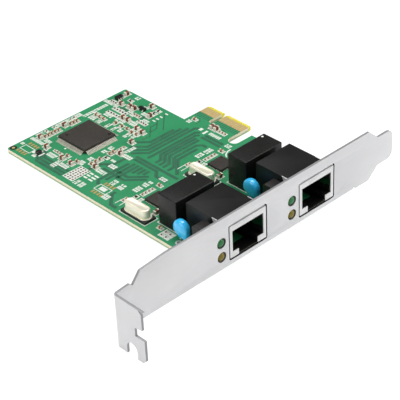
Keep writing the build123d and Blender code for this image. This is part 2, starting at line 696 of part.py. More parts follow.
# Controller chips, leadless, each with its crystal in a flanged can on a moulded base
for number, group in enumerate(GROUPS, start=1):
    with BuildPart() as controller:
        with BuildSketch(level(0, CONTROLLER_X, group)):
            Rectangle(CONTROLLER_SIDE, CONTROLLER_SIDE)
        extrude(amount=CONTROLLER_HEIGHT)
    controller.part.label = f"controller_chip_{number}"
    export_step(controller.part, f"parts/controller_chip_{number}.step")
    with BuildPart() as crystal_base:
        with BuildSketch(level(0, CRYSTAL_X, group + CRYSTAL_OFFSET)):
            Rectangle(CRYSTAL_BASE_LENGTH, CRYSTAL_BASE_WIDTH)
        extrude(amount=CRYSTAL_BASE_HEIGHT)
    crystal_base.part.label = f"crystal_base_{number}"
    export_step(crystal_base.part, f"parts/crystal_base_{number}.step")
    with BuildPart() as crystal_can:
        with BuildSketch(level(CRYSTAL_BASE_HEIGHT, CRYSTAL_X, group + CRYSTAL_OFFSET)):
            SlotOverall(CAN_LENGTH, CAN_WIDTH)
        extrude(amount=CAN_TOP - CRYSTAL_BASE_HEIGHT)
        chamfer(crystal_can.edges().group_by(Axis.Z)[-1], CAN_EDGE)
        with BuildSketch(level(CRYSTAL_BASE_HEIGHT, CRYSTAL_X, group + CRYSTAL_OFFSET)):
            SlotOverall(CAN_LENGTH + 2 * CAN_RIM, CAN_WIDTH + 2 * CAN_RIM)
        extrude(amount=CAN_RIM_THICKNESS)
    crystal_can.part.label = f"crystal_can_{number}"
    export_step(crystal_can.part, f"parts/crystal_can_{number}.step")

# Bridge chip: square body on formed leads along its four sides
with BuildPart() as bridge_chip:
    with BuildSketch(level(BRIDGE_STANDOFF, BRIDGE_X, BRIDGE_Y)):
        Rectangle(BRIDGE_SIDE, BRIDGE_SIDE)
    extrude(amount=BRIDGE_TOP - BRIDGE_STANDOFF)
    chamfer(bridge_chip.edges().group_by(Axis.Z)[-1], BRIDGE_EDGE)
bridge_chip.part.label = "bridge_chip_body"
export_step(bridge_chip.part, "parts/bridge_chip_body.step")

with BuildPart() as bridge_leads:
    span = range(BRIDGE_LEADS)
    start = -(BRIDGE_LEADS - 1) * BRIDGE_LEAD_PITCH / 2 + BRIDGE_LEAD_WIDTH / 2
    side_planes = [
        Plane(origin=(BRIDGE_X, BRIDGE_Y, 0), x_dir=(1, 0, 0), z_dir=(0, -1, 0))
        .rotated((0, 0, turn))
        .offset(-start - k * BRIDGE_LEAD_PITCH)
        for turn in (0, 90, 180, 270)
        for k in span
    ]
    with BuildSketch(*side_planes) as lead_form:
        with BuildLine():
            root = BRIDGE_SIDE / 2
            tip = root + BRIDGE_LEAD_REACH
            shoulder = BRIDGE_TOP / 2
            Polyline(
                (root, shoulder),
                (tip - BRIDGE_FOOT, BRIDGE_LEAD_THICKNESS),
                (tip, BRIDGE_LEAD_THICKNESS),
                (tip, 0),
                (tip - BRIDGE_FOOT - BRIDGE_LEAD_THICKNESS, 0),
                (root, shoulder - BRIDGE_LEAD_THICKNESS),
                close=True,
            )
        make_face()
    extrude(amount=BRIDGE_LEAD_WIDTH)
bridge_leads.part.label = "bridge_chip_leads"
export_step(bridge_leads.part, "parts/bridge_chip_leads.step")


# Small outline parts: a five-lead regulator and a three-lead transistor
def small_body(place, size):
    """Moulded body of a small outline part, with its sides drafted from the lead line up."""
    with BuildPart() as body:
        with BuildSketch(level(SMALL_STANDOFF, *place)):
            Rectangle(*size)
        extrude(amount=SMALL_HEIGHT - SMALL_STANDOFF)
        chamfer(body.edges().group_by(Axis.Z)[-1], SMALL_STANDOFF, SMALL_STANDOFF)
    return body


def small_leads(places, size):
    """Formed leads of a small outline part: a foot on the board and a riser to the body."""
    with BuildPart() as leads:
        for x, y, turn in places:
            plane = Plane(origin=(x, y, 0), x_dir=(1, 0, 0), z_dir=(0, -1, 0))
            with BuildSketch(plane.rotated((0, 0, turn))):
                with BuildLine():
                    Polyline(
                        (0, SMALL_HEIGHT / 2),
                        (size[1] / 2, SMALL_HEIGHT / 2),
                        (size[1] / 2, TAB_THICKNESS / 2),
                        (size[1], TAB_THICKNESS / 2),
                        (size[1], 0),
                        (size[1] / 2 - TAB_THICKNESS / 2, 0),
                        (size[1] / 2 - TAB_THICKNESS / 2, SMALL_HEIGHT / 2 - TAB_THICKNESS / 2),
                        (0, SMALL_HEIGHT / 2 - TAB_THICKNESS / 2),
                        close=True,
                    )
                make_face()
            extrude(amount=size[0] / 2, both=True)
    return leads


half_body = REGULATOR_BODY[0] / 2
regulator_spots = [(REGULATOR_PLACE[0] + half_body, REGULATOR_PLACE[1] + k * REGULATOR_PITCH, 0) for k in (-1, 0, 1)]
regulator_spots += [(REGULATOR_PLACE[0] - half_body, REGULATOR_PLACE[1] + k * REGULATOR_PITCH, 180) for k in (-1, 1)]
half_body = TRANSISTOR_BODY[1] / 2
transistor_spots = [
    (TRANSISTOR_PLACE[0] + k * TRANSISTOR_PITCH / 2, TRANSISTOR_PLACE[1] - half_body, -90) for k in (-1, 1)
]
transistor_spots += [(TRANSISTOR_PLACE[0], TRANSISTOR_PLACE[1] + half_body, 90)]
for name, place, size, spots in (
    ("regulator", REGULATOR_PLACE, REGULATOR_BODY, regulator_spots),
    ("transistor", TRANSISTOR_PLACE, TRANSISTOR_BODY, transistor_spots),
):
    body = small_body(place, size)
    body.part.label = f"{name}_body"
    export_step(body.part, f"parts/{name}_body.step")
    leads = small_leads(spots, SMALL_LEAD)
    leads.part.label = f"{name}_leads"
    export_step(leads.part, f"parts/{name}_leads.step")

# Diode with a flat tab at each end
with BuildPart() as diode_body:
    with BuildSketch(level(0, *DIODE_PLACE)):
        Rectangle(*DIODE_BODY)
    extrude(amount=DIODE_HEIGHT)
    chamfer(diode_body.edges().filter_by(Axis.Z), DIODE_CORNER)
diode_body.part.label = "diode_body"
export_step(diode_body.part, "parts/diode_body.step")

with BuildPart() as diode_tabs:
    with BuildSketch(level(0, *DIODE_PLACE)):
        with GridLocations(1, DIODE_BODY[1] + DIODE_TAB[1], 1, 2):
            Rectangle(*DIODE_TAB)
    extrude(amount=TAB_THICKNESS)
diode_tabs.part.label = "diode_tabs"
export_step(diode_tabs.part, "parts/diode_tabs.step")

# Rows of chip parts, as they stand on the board
large_capacitors = (
    row(-35.4, -15.0, turn=90)
    + row(-31.7, -20.9)
    + row(-28.1, -20.1, count=2, dx=2.1, turn=90)
    + row(-22.2, -14.9)
    + row(-18.3, -19.6, turn=90)
    + row(-24.2, -26.6, count=2, dx=2.5)
    + row(-15.3, -28.2, count=2, dx=3.3, dy=-0.5)
    + row(-10.1, -35.3)
    + row(-35.5, -43.8)
    + row(-35.6, -54.4)
    + row(-29.3, -56.8)
    + row(-7.5, -42.6, count=2, dy=-11.0)
    + row(-19.8, -57.8, count=2, dx=4.7)
    + row(3.0, -10.0, count=2, dx=1.9, turn=90)
    + row(26.7, -57.6, count=2, dy=GROUP_PITCH, turn=90)
)
middle_capacitors = (
    row(-23.6, -30.8, count=2, dx=3.1, turn=90)
    + row(-15.0, -31.2, turn=90)
    + row(-17.7, -30.4)
    + row(-12.6, -30.8)
    + row(-32.7, -31.7, count=3, dx=2.0)
    + row(-34.6, -38.8, count=3, dy=-1.4)
    + row(-34.6, -47.0, count=5, dy=-1.45)
    + row(-10.1, -43.4, count=2, dy=-1.5)
    + row(-9.9, -49.4, count=3, dy=-1.9)
    + row(-5.2, -10.4)
    + row(-19.6, -55.5, count=2, dx=5.0)
    + row(16.1, -46.4, count=2, dy=GROUP_PITCH)
    + row(33.6, -62.3)
)
small_capacitors = (
    row(-23.2, -22.4, count=3, dx=1.2, turn=90)
    + row(-25.2, -56.2, count=3, dx=1.3)
    + row(6.8, -10.3, count=3, dx=1.3, turn=90)
    + row(-9.7, -39.0, count=3, dy=-1.35)
    + [spot for group in GROUPS for spot in row(15.9, group + 3.0, count=4, dy=-1.45)]
    + [spot for group in GROUPS for spot in row(13.8, group - 6.4, count=2, dy=-1.4)]
)
middle_resistors = (
    row(-31.1, -17.0)
    + row(-18.5, -15.2, count=2, dy=-2.1)
    + row(-9.3, -47.3)
    + row(15.2, -56.1, count=2, dy=GROUP_PITCH, turn=90)
)
small_resistors = (
    row(-36.2, -21.7, count=3, dx=1.15, turn=90)
    + row(-31.5, -24.3, count=5, dx=1.4, turn=90)
    + row(-31.5, -27.2, count=5, dx=1.4, turn=90)
    + row(-18.8, -24.3, count=4, dx=1.17, turn=90)
    + row(-37.3, -37.9, count=2, dy=-1.7)
    + row(-37.3, -46.8, count=2, dy=-3.4)
    + row(36.6, -62.6, count=2, dy=-1.8)
    + row(38.6, -62.6, count=2, dy=-1.8)
)


def chips(places, size):
    """A set of like chip parts, each one solid with its plated ends."""
    with BuildPart() as blocks:
        with Locations(*places):
            Box(*size, align=(Align.CENTER, Align.CENTER, Align.MIN))
    return blocks


for name, places, size in (
    ("large_capacitors", large_capacitors, LARGE_CHIP),
    ("middle_capacitors", middle_capacitors, MIDDLE_CHIP),
    ("small_capacitors", small_capacitors, SMALL_CHIP),
    ("middle_resistors", middle_resistors, MIDDLE_RESISTOR),
    ("small_resistors", small_resistors, SMALL_RESISTOR),
):
    blocks = chips(places, size)
    blocks.part.label = name
    export_step(blocks.part, f"parts/{name}.step")
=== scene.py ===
"""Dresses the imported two-port network card: its finishes, copper, print, leads, lenses and the studio round it.

All sizes here are millimetres in the card's own frame, and become metres where a mesh or a node takes them.
"""

import logging
import math
from collections.abc import Sequence
from dataclasses import dataclass
from enum import Enum

import bmesh
import bpy
import numpy as np
from mathutils import Matrix, Vector


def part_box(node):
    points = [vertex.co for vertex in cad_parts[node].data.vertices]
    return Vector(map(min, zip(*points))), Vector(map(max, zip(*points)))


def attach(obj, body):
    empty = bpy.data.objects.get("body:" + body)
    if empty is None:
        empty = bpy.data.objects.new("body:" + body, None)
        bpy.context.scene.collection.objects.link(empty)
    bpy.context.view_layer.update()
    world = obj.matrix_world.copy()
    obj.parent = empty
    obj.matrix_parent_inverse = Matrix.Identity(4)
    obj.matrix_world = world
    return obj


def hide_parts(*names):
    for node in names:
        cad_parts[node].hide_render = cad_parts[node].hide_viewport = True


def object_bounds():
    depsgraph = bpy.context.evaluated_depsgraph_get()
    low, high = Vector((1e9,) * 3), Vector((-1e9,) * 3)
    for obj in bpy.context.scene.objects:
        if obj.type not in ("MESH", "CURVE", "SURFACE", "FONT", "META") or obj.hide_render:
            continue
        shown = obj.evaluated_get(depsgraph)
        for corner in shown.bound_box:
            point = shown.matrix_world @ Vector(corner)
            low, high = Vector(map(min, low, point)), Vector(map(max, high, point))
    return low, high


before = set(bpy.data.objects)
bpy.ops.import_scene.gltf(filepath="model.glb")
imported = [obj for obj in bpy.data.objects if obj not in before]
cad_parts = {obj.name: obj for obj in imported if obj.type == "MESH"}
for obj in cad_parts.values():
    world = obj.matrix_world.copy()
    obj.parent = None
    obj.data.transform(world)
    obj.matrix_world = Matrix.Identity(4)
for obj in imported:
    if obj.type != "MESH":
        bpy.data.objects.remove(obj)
CAD_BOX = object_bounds()

MM = 0.001
BODY = "root"
LOG = logging.getLogger("network_card")

# Middles of the two ports, along y.
PORTS = (-50.8, -20.32)

# Points on each rounded edge of a moulded block, and the least radius of its corners.
EDGE_POINTS = 4
LEAST_CORNER = 0.01

# How many heights the tops of neighbouring printed plates run through.
PLATE_TOPS = 7

# Metres within which points are one, radians under which faces are one, and radians over which an edge is eased.
MERGED = 1e-6
FLAT_ANGLE = 0.01
EASED_ANGLE = 0.7

# Radians under which faces shade as one: of a built piece, and of a round one.
SMOOTH_ANGLE = 0.6
ROUND_ANGLE = 0.9

# How far marks on a face reach into it, and how high the middle of a dimple lies over it.
SUNK = 0.02
DIMPLE_MIDDLE = 0.002

# How the tone of a speck follows from its finish's tone, and the strength of every bump.
SPECK_GAIN = 1.8
SPECK_LIFT = 25
BUMP_STRENGTH = 0.6

Colour = tuple[float, float, float]
Triple = tuple[float, float, float]
Rect = tuple[float, float, float, float]
Point = tuple[float, float]
Socket = bpy.types.NodeSocket


class Turn(Enum):
    """Which way a repeated piece points along the board, in quarter turns about +Z."""

    ALONG_X = 0
    ALONG_Y = 1


class Layer(Enum):
    """Height of each thin layer over the component face of the board, and of a painted hole, a spot of painted
    shade, over its layer.
    """

    CLEARANCE = 0.008
    COPPER = 0.02
    PRINT = 0.03
    PAD = 0.045
    HOLE = 0.01


# Shapes


@dataclass
class Shape:
    """Points and faces of one closed shape, or of several.

    Args:
        points: array of n points, in millimetres.
        faces: arrays of point numbers, one array for each count of corners.
    """

    points: np.ndarray
    faces: list[np.ndarray]

    def repeated(self, places: np.ndarray, turns: np.ndarray | None = None) -> "Shape":
        """Copies the shape to each place, turned about +Z: p' = place + R(turn) p, for all copies at once.

        Args:
            places: array of k places.
            turns: k angles in radians, or nothing for no turn.

        Returns:
            One shape with k copies.
        """
        places = np.asarray(places, float).reshape(-1, 3)
        angles = np.zeros(len(places)) if turns is None else np.asarray(turns, float)
        c, s = np.cos(angles)[:, None], np.sin(angles)[:, None]
        x, y, z = self.points.T
        moved = np.stack([c * x - s * y, s * x + c * y, np.broadcast_to(z, (len(places), len(z)))], axis=2)
        shift = np.arange(len(places))[:, None, None] * len(self.points)
        faces = [(f[None] + shift).reshape(-1, f.shape[1]) for f in self.faces]
        return Shape((moved + places[:, None]).reshape(-1, 3), faces)

    def carried(self, origin: np.ndarray, axes: np.ndarray) -> "Shape":
        """Carries the shape to other axes: p' = origin + p times the rows of axes."""
        return Shape(np.asarray(origin, float) + self.points @ np.asarray(axes, float), self.faces)


def joined(shapes: list[Shape]) -> Shape:
    """Puts several shapes into one, with each one's point numbers counted on from the last.

    Args:
        shapes: the shapes.

    Returns:
        One shape with all their points and faces.
    """
    starts = np.cumsum([0] + [len(s.points) for s in shapes[:-1]])
    faces = [f + start for s, start in zip(shapes, starts) for f in s.faces]
    return Shape(np.vstack([s.points for s in shapes]), faces)


def loft(rings: np.ndarray) -> Shape:
    """Skins a stack of like rings: quads join ring i to ring i + 1, and a flat face closes each end.

    Args:
        rings: array of m rings of n points each.

    Returns:
        A closed shape.
    """
    m, n = rings.shape[:2]
    i, j = np.meshgrid(np.arange(m - 1), np.arange(n), indexing="ij")
    k = (j + 1) % n
    quads = np.stack([i * n + j, i * n + k, (i + 1) * n + k, (i + 1) * n + j], axis=-1).reshape(-1, 4)
    ends = np.stack([np.arange(n)[::-1], (m - 1) * n + np.arange(n)])
    return Shape(rings.reshape(-1, 3), [quads, ends])


def level(flat: np.ndarray, z: float) -> np.ndarray:
    """Lays a flat outline at a height."""
    return np.column_stack([flat, np.full(len(flat), z)])


def rounded_outline(half_x: float, half_y: float, corner: float, steps: int) -> np.ndarray:
    """Outline of a rectangle with round corners: each corner's centre plus a quarter circle about it.

    Args:
        half_x: half its length.
        half_y: half its width.
        corner: radius of its corners.
        steps: points on each corner.

    Returns:
        Array of points, anticlockwise.
    """
    turn = (np.arange(4)[:, None] + np.linspace(0, 1, steps)) * math.pi / 2
    x = (half_x - corner) * np.array([1, -1, -1, 1])[:, None] + corner * np.cos(turn)
    y = (half_y - corner) * np.array([1, 1, -1, -1])[:, None] + corner * np.sin(turn)
    return np.stack([x, y], axis=-1).reshape(-1, 2)


def block(size: Triple, corner: float, edge: float, draft: float = 0.0, steps: int = 3) -> Shape:
    """A moulded block that stands on z = 0.

    Its outline shrinks by draft up to the top, where a quarter circle of radius edge rounds it over: there the
    inset is edge (1 - sin t) and the height is top - edge (1 - cos t).

    Args:
        size: length, width and height.
        corner: radius of its upright edges.
        edge: radius of its upper edges.
        draft: how much narrower each side is at the top.
        steps: points on each corner.

    Returns:
        A closed shape, centred on x and y.
    """
    length, width, height = size
    t = np.linspace(math.pi / 2, 0, EDGE_POINTS)
    insets = np.concatenate([[0.0], draft + edge * (1 - np.sin(t))])
    heights = np.concatenate([[0.0], height - edge * (1 - np.cos(t))])
    rings = []
    for inset, z in zip(insets, heights):
        radius = max(corner - inset / 2, LEAST_CORNER)
        rings.append(level(rounded_outline(length / 2 - inset, width / 2 - inset, radius, steps), z))
    return loft(np.array(rings))


def stadium(length: float, width: float, levels: list[Point], steps: int) -> Shape:
    """A round-ended pill: at each level the outline is two half circles of radius width / 2 - inset.

    Args:
        length: overall length along x.
        width: overall width along y.
        levels: pairs of height and inset, from the foot up.
        steps: points on each half circle.

    Returns:
        A closed shape, centred on x and y.
    """
    t = np.linspace(-math.pi / 2, math.pi / 2, steps)
    arc = np.column_stack([np.cos(t), np.sin(t)])
    rings = []
    for z, inset in levels:
        right = (width / 2 - inset) * arc + ((length - width) / 2, 0.0)
        rings.append(level(np.vstack([right, -right]), z))
    return loft(np.array(rings))


def lathe(profile: list[Point], sides: int) -> Shape:
    """A turned shape: each profile point (radius, height) becomes a ring r (cos a, sin a) at that height.

    Args:
        profile: pairs of radius and height, from the foot up.
        sides: points on each ring.

    Returns:
        A closed shape about the z axis.
    """
    r, z = np.array(profile).T[:, :, None]
    a = np.arange(sides) * 2 * math.pi / sides
    return loft(np.stack(np.broadcast_arrays(r * np.cos(a), r * np.sin(a), z), axis=-1))


def dimple(radius: float, inner: float, high: float, sides: int) -> Shape:
    """A shallow round mark that falls from its rim to its inner radius."""
    return lathe([(radius, -SUNK), (radius, high), (inner, DIMPLE_MIDDLE)], sides)


def disc(place: Triple, radius: float, low: float, high: float, sides: int) -> Shape:
    """A round plate at a place: two rings of one radius, at two heights over it."""
    return lathe([(radius, low), (radius, high)], sides).repeated([place])


def slabs(rects: np.ndarray, low: float, high: float, rise: float = 0.0) -> Shape:
    """Thin plates over many rectangles at once, each the eight corners of its own box.

    Plate k is rise * (k mod PLATE_TOPS) higher than the first, so that neighbours that cross share no face.

    Args:
        rects: array of k rows x0, y0, x1, y1.
        low: height of the undersides.
        high: height of the tops.
        rise: step between the tops of neighbours.

    Returns:
        One shape with k boxes.
    """
    x0, y0, x1, y1 = np.asarray(rects, float).reshape(-1, 4).T
    ones = np.ones_like(x0)
    levels = (low * ones, high + rise * (np.arange(len(x0)) % PLATE_TOPS))
    corners = [np.stack([x, y, z], 1) for z in levels for x, y in ((x0, y0), (x1, y0), (x1, y1), (x0, y1))]
    points = np.stack(corners, axis=1)
    box = np.array([[3, 2, 1, 0], [4, 5, 6, 7], [0, 1, 5, 4], [1, 2, 6, 5], [2, 3, 7, 6], [3, 0, 4, 7]])
    faces = (box[None] + 8 * np.arange(len(points))[:, None, None]).reshape(-1, 4)
    return Shape(points.reshape(-1, 3), [faces])


def ribbon(route: Sequence[Point], width: float, low: float, high: float, shift: float = 0.0) -> Shape:
    """A flat strip along a bent route, mitred at its bends.

    At each point the strip's two edges lie along the mean of the two neighbouring normals, stretched by one
    over the cosine of half the turn.

    Args:
        route: points of the route.
        width: width of the strip.
        low: height of its underside.
        high: height of its top.
        shift: how far the whole strip lies to one side of the route, so that several can run side by side.

    Returns:
        A closed shape.
    """
    p = np.array(route, float)
    run = np.diff(p, axis=0)
    run /= np.linalg.norm(run, axis=1, keepdims=True)
    normal = np.column_stack([-run[:, 1], run[:, 0]])
    before, after = np.vstack([normal[:1], normal]), np.vstack([normal, normal[-1:]])
    mitre = before + after
    mitre *= 2 / np.sum(mitre * mitre, axis=1, keepdims=True)
    sides = [p + mitre * (shift + half) for half in (width / 2, -width / 2)]
    levels = [(sides[0], high), (sides[0], low), (sides[1], low), (sides[1], high)]
    return loft(np.stack([level(flat, z) for flat, z in levels], axis=1))


def strip_outline(centre: np.ndarray, thickness: float) -> np.ndarray:
    """Outline of a bent strip of sheet: its centre line moved half the thickness to each side of it.

    Args:
        centre: points of the centre line.
        thickness: thickness of the sheet.

    Returns:
        Array of points round the strip.
    """
    run = np.gradient(centre, axis=0)
    run /= np.linalg.norm(run, axis=1, keepdims=True)
    side = np.column_stack([-run[:, 1], run[:, 0]]) * thickness / 2
    return np.vstack([centre + side, (centre - side)[::-1]])


def eased_path(points: list[Point], radius: float, steps: int = 4) -> np.ndarray:
    """A bent line with its corners eased.

    Near each corner the line follows the curve (1 - t)^2 a + 2 t (1 - t) corner + t^2 b, where a and b lie on
    the two runs, a radius away from the corner.

    Args:
        points: ends and corners of the line.
        radius: how far from a corner its curve starts.
        steps: points on each curve.

    Returns:
        Array of points along the eased line.
    """
    p = np.array(points, float)
    t = np.linspace(0, 1, steps)[:, None]
    pieces = [p[:1]]
    for a, corner, b in zip(p[:-2], p[1:-1], p[2:]):
        start = corner + (a - corner) / np.linalg.norm(a - corner) * radius
        end = corner + (b - corner) / np.linalg.norm(b - corner) * radius
        pieces.append((1 - t) ** 2 * start + 2 * t * (1 - t) * corner + t**2 * end)
    pieces.append(p[-1:])
    return np.vstack(pieces)


def solids_in(node: str) -> np.ndarray:
    """Boxes of the separate solids in one node of the frame.

    Points at one place are made one, and each triangle then hands its lowest label to its corners until
    nothing changes, which leaves one label for each solid.

    Args:
        node: name of a node of the frame.

    Returns:
        Array of k boxes, each a lowest and a highest corner, in millimetres.
    """
    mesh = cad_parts[node].data
    points = np.empty(len(mesh.vertices) * 3, np.float32)
    mesh.vertices.foreach_get("co", points)
    points = points.reshape(-1, 3).astype(float) / MM
    mesh.calc_loop_triangles()
    corners = np.empty(len(mesh.loop_triangles) * 3, np.int32)
    mesh.loop_triangles.foreach_get("vertices", corners)
    _, place = np.unique(np.round(points, 3), axis=0, return_inverse=True)
    place = place.ravel()
    triangles = place[corners].reshape(-1, 3)
    label = np.arange(place.max() + 1)
    while True:
        lowest = label[triangles].min(axis=1)
        nearer = label.copy()
        for corner in range(3):
            np.minimum.at(nearer, triangles[:, corner], lowest)
        if np.array_equal(nearer, label):
            break
        label = nearer
    _, solid = np.unique(label[place], return_inverse=True)
    count = solid.max() + 1
    low, high = np.full((count, 3), np.inf), np.full((count, 3), -np.inf)
    np.minimum.at(low, solid, points)
    np.maximum.at(high, solid, points)
    return np.stack([low, high], axis=1)


@dataclass
class Box:
    """The space that a node fills, in millimetres.

    Args:
        low: its lowest corner.
        high: its highest corner.
    """

    low: np.ndarray
    high: np.ndarray

    @property
    def size(self) -> np.ndarray:
        """Length, width and height."""
        return self.high - self.low

    @property
    def middle(self) -> np.ndarray:
        """Middle of the space."""
        return (self.low + self.high) / 2

    @property
    def foot(self) -> np.ndarray:
        """The point on the board's face that lies under the middle."""
        return self.middle * (1, 1, 0)


def node_box(node: str) -> Box:
    """The space that a node of the frame fills."""
    low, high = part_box(node)
    return Box(np.array(low) / MM, np.array(high) / MM)


# Shader parts


def linear(colour: Colour) -> tuple[float, float, float, float]:
    """Turns a colour as a screen shows it into what a shader takes.

    Each part becomes ((c + 0.055) / 1.055)^2.4, or c / 12.92 where it is nearly black.

    Args:
        colour: red, green and blue, 0 to 255.

    Returns:
        Red, green and blue, 0 to 1, and a full alpha.
    """
    c = np.array(colour, float) / 255
    light = np.where(c <= 0.04045, c / 12.92, ((c + 0.055) / 1.055) ** 2.4)
    return (*light.tolist(), 1.0)


class Wiring:
    """Adds nodes to one node tree and joins them.

    Args:
        tree: the node tree of a material, of the world or of a group.
    """

    def __init__(self, tree: bpy.types.NodeTree) -> None:
        """Takes the tree."""
        self.tree = tree

    @classmethod
    def afresh(cls, owner: bpy.types.Material | bpy.types.World) -> "Wiring":
        """Clears the nodes of a material or of the world, and returns the wiring of its empty tree."""
        owner.use_nodes = True
        owner.node_tree.nodes.clear()
        return cls(owner.node_tree)

    def add(self, kind: str, inputs: dict | None = None, **settings) -> bpy.types.Node:
        """Adds a node, sets it and feeds its inputs.

        Args:
            kind: type of the node.
            inputs: for each input's name or number, a value or the socket that feeds it.
            settings: values of the node itself.

        Returns:
            The new node.
        """
        node = self.tree.nodes.new(kind)
        for key, value in settings.items():
            setattr(node, key, value)
        for key, value in (inputs or {}).items():
            if isinstance(value, Socket):
                self.tree.links.new(value, node.inputs[key])
            else:
                node.inputs[key].default_value = value
        return node

    def shared(self, group: bpy.types.NodeTree, inputs: dict) -> Socket:
        """Places one of the shared groups and returns its output."""
        return self.add("ShaderNodeGroup", inputs, node_tree=group).outputs[0]

    def arithmetic(self, operation: str, *values: Socket | float) -> Socket:
        """Works out one number from one or two."""
        return self.add("ShaderNodeMath", dict(enumerate(values)), operation=operation).outputs[0]

    def mix(self, factor: Socket, first: Socket | tuple, second: Socket | tuple) -> Socket:
        """Mixes two colours by a mask and returns the mixed colour."""
        return self.add("ShaderNodeMix", {0: factor, 6: first, 7: second}, data_type="RGBA").outputs[2]

    def product(self, first: Socket, *others: Socket) -> Socket:
        """Multiplies masks."""
        for mask in others:
            first = self.arithmetic("MULTIPLY", first, mask)
        return first

    def past(self, value: Socket, start: float, blur: float = 0.02) -> Socket:
        """A mask that rises from zero to one round a limit, over blur on each side of it."""
        return self.add("ShaderNodeMapRange", {0: value, 1: start - blur, 2: start + blur}).outputs[0]

    def before(self, value: Socket, end: float, blur: float = 0.02) -> Socket:
        """A mask that falls from one to zero round a limit, over blur on each side of it."""
        feeds = {0: value, 1: end - blur, 2: end + blur, 3: 1.0, 4: 0.0}
        return self.add("ShaderNodeMapRange", feeds).outputs[0]

    def between(self, value: Socket, low: float, high: float) -> Socket:
        """A mask that is one between two limits."""
        return self.product(self.past(value, low), self.before(value, high))

    def millimetres(self, place: Socket) -> list[Socket]:
        """The three parts of a place, in millimetres."""
        scaled = self.add("ShaderNodeVectorMath", {0: place, "Scale": 1 / MM}, operation="SCALE")
        return self.add("ShaderNodeSeparateXYZ", {0: scaled.outputs[0]}).outputs

    def away(self) -> list[Socket]:
        """How far the surface looks along each axis, either way: the sizes of the three parts of its normal."""
        normal = self.add("ShaderNodeNewGeometry").outputs["Normal"]
        looks = self.add("ShaderNodeSeparateXYZ", {0: normal}).outputs
        return [self.arithmetic("ABSOLUTE", look) for look in looks]


class ShaderGroups:
    """The effects that several materials share, each made once as a node group.

    Noise hardly leaves its calm span, so that span is spread over the values that a material asks for.
    """

    calm = (0.3, 0.7)

    def __init__(self) -> None:
        """Makes the three groups."""
        self.grain = self._noise("card_grain", 4.0)
        self.brushing = self._noise("card_brushing", 3.0, stretched=True)
        self.specks = self._specks("card_specks")

    @staticmethod
    def _start(name: str, inputs: tuple[str, ...], output: str) -> tuple:
        """Makes an empty group with its sockets.

        Args:
            name: name of the group.
            inputs: labels of its inputs: Vector and Stretch are vectors, and all others numbers.
            output: label of its output, a number.

        Returns:
            The group, its wiring, and the sockets that bring its inputs.
        """
        group = bpy.data.node_groups.new(name, "ShaderNodeTree")
        for label in inputs:
            kind = "NodeSocketVector" if label in ("Vector", "Stretch") else "NodeSocketFloat"
            group.interface.new_socket(name=label, in_out="INPUT", socket_type=kind)
        group.interface.new_socket(name=output, in_out="OUTPUT", socket_type="NodeSocketFloat")
        wiring = Wiring(group)
        return group, wiring, wiring.add("NodeGroupInput").outputs

    def _noise(self, name: str, detail: float, stretched: bool = False) -> bpy.types.NodeTree:
        """Cloudy noise whose calm span is spread between two values, plain or drawn out as on brushed sheet.

        Args:
            name: name of the group.
            detail: how many finer layers the noise has.
            stretched: whether it is drawn out, by a divisor for each axis.

        Returns:
            The group.
        """
        labels = ("Vector", "Stretch") if stretched else ("Vector",)
        group, wiring, given = self._start(name, (*labels, "Scale", "Low", "High"), "Value")
        place = given["Vector"]
        if stretched:
            feeds = {0: place, 1: given["Stretch"]}
            place = wiring.add("ShaderNodeVectorMath", feeds, operation="MULTIPLY").outputs[0]
        noise = wiring.add("ShaderNodeTexNoise", {"Vector": place, "Scale": given["Scale"], "Detail": detail})
        low, high = self.calm
        spread = {0: noise.outputs[0], 1: low, 2: high, 3: given["Low"], 4: given["High"]}
        wiring.add("NodeGroupOutput", {0: wiring.add("ShaderNodeMapRange", spread).outputs[0]})
        return group

    def _specks(self, name: str) -> bpy.types.NodeTree:
        """Sparse round specks: one inside a small part of each cell of a cell pattern, and zero elsewhere."""
        group, wiring, given = self._start(name, ("Vector", "Scale", "Size"), "Mask")
        cells = wiring.add("ShaderNodeTexVoronoi", {"Vector": given["Vector"], "Scale": given["Scale"]})
        near = wiring.arithmetic("LESS_THAN", cells.outputs["Distance"], given["Size"])
        wiring.add("NodeGroupOutput", {0: near})
        return group


GROUPS = ShaderGroups()


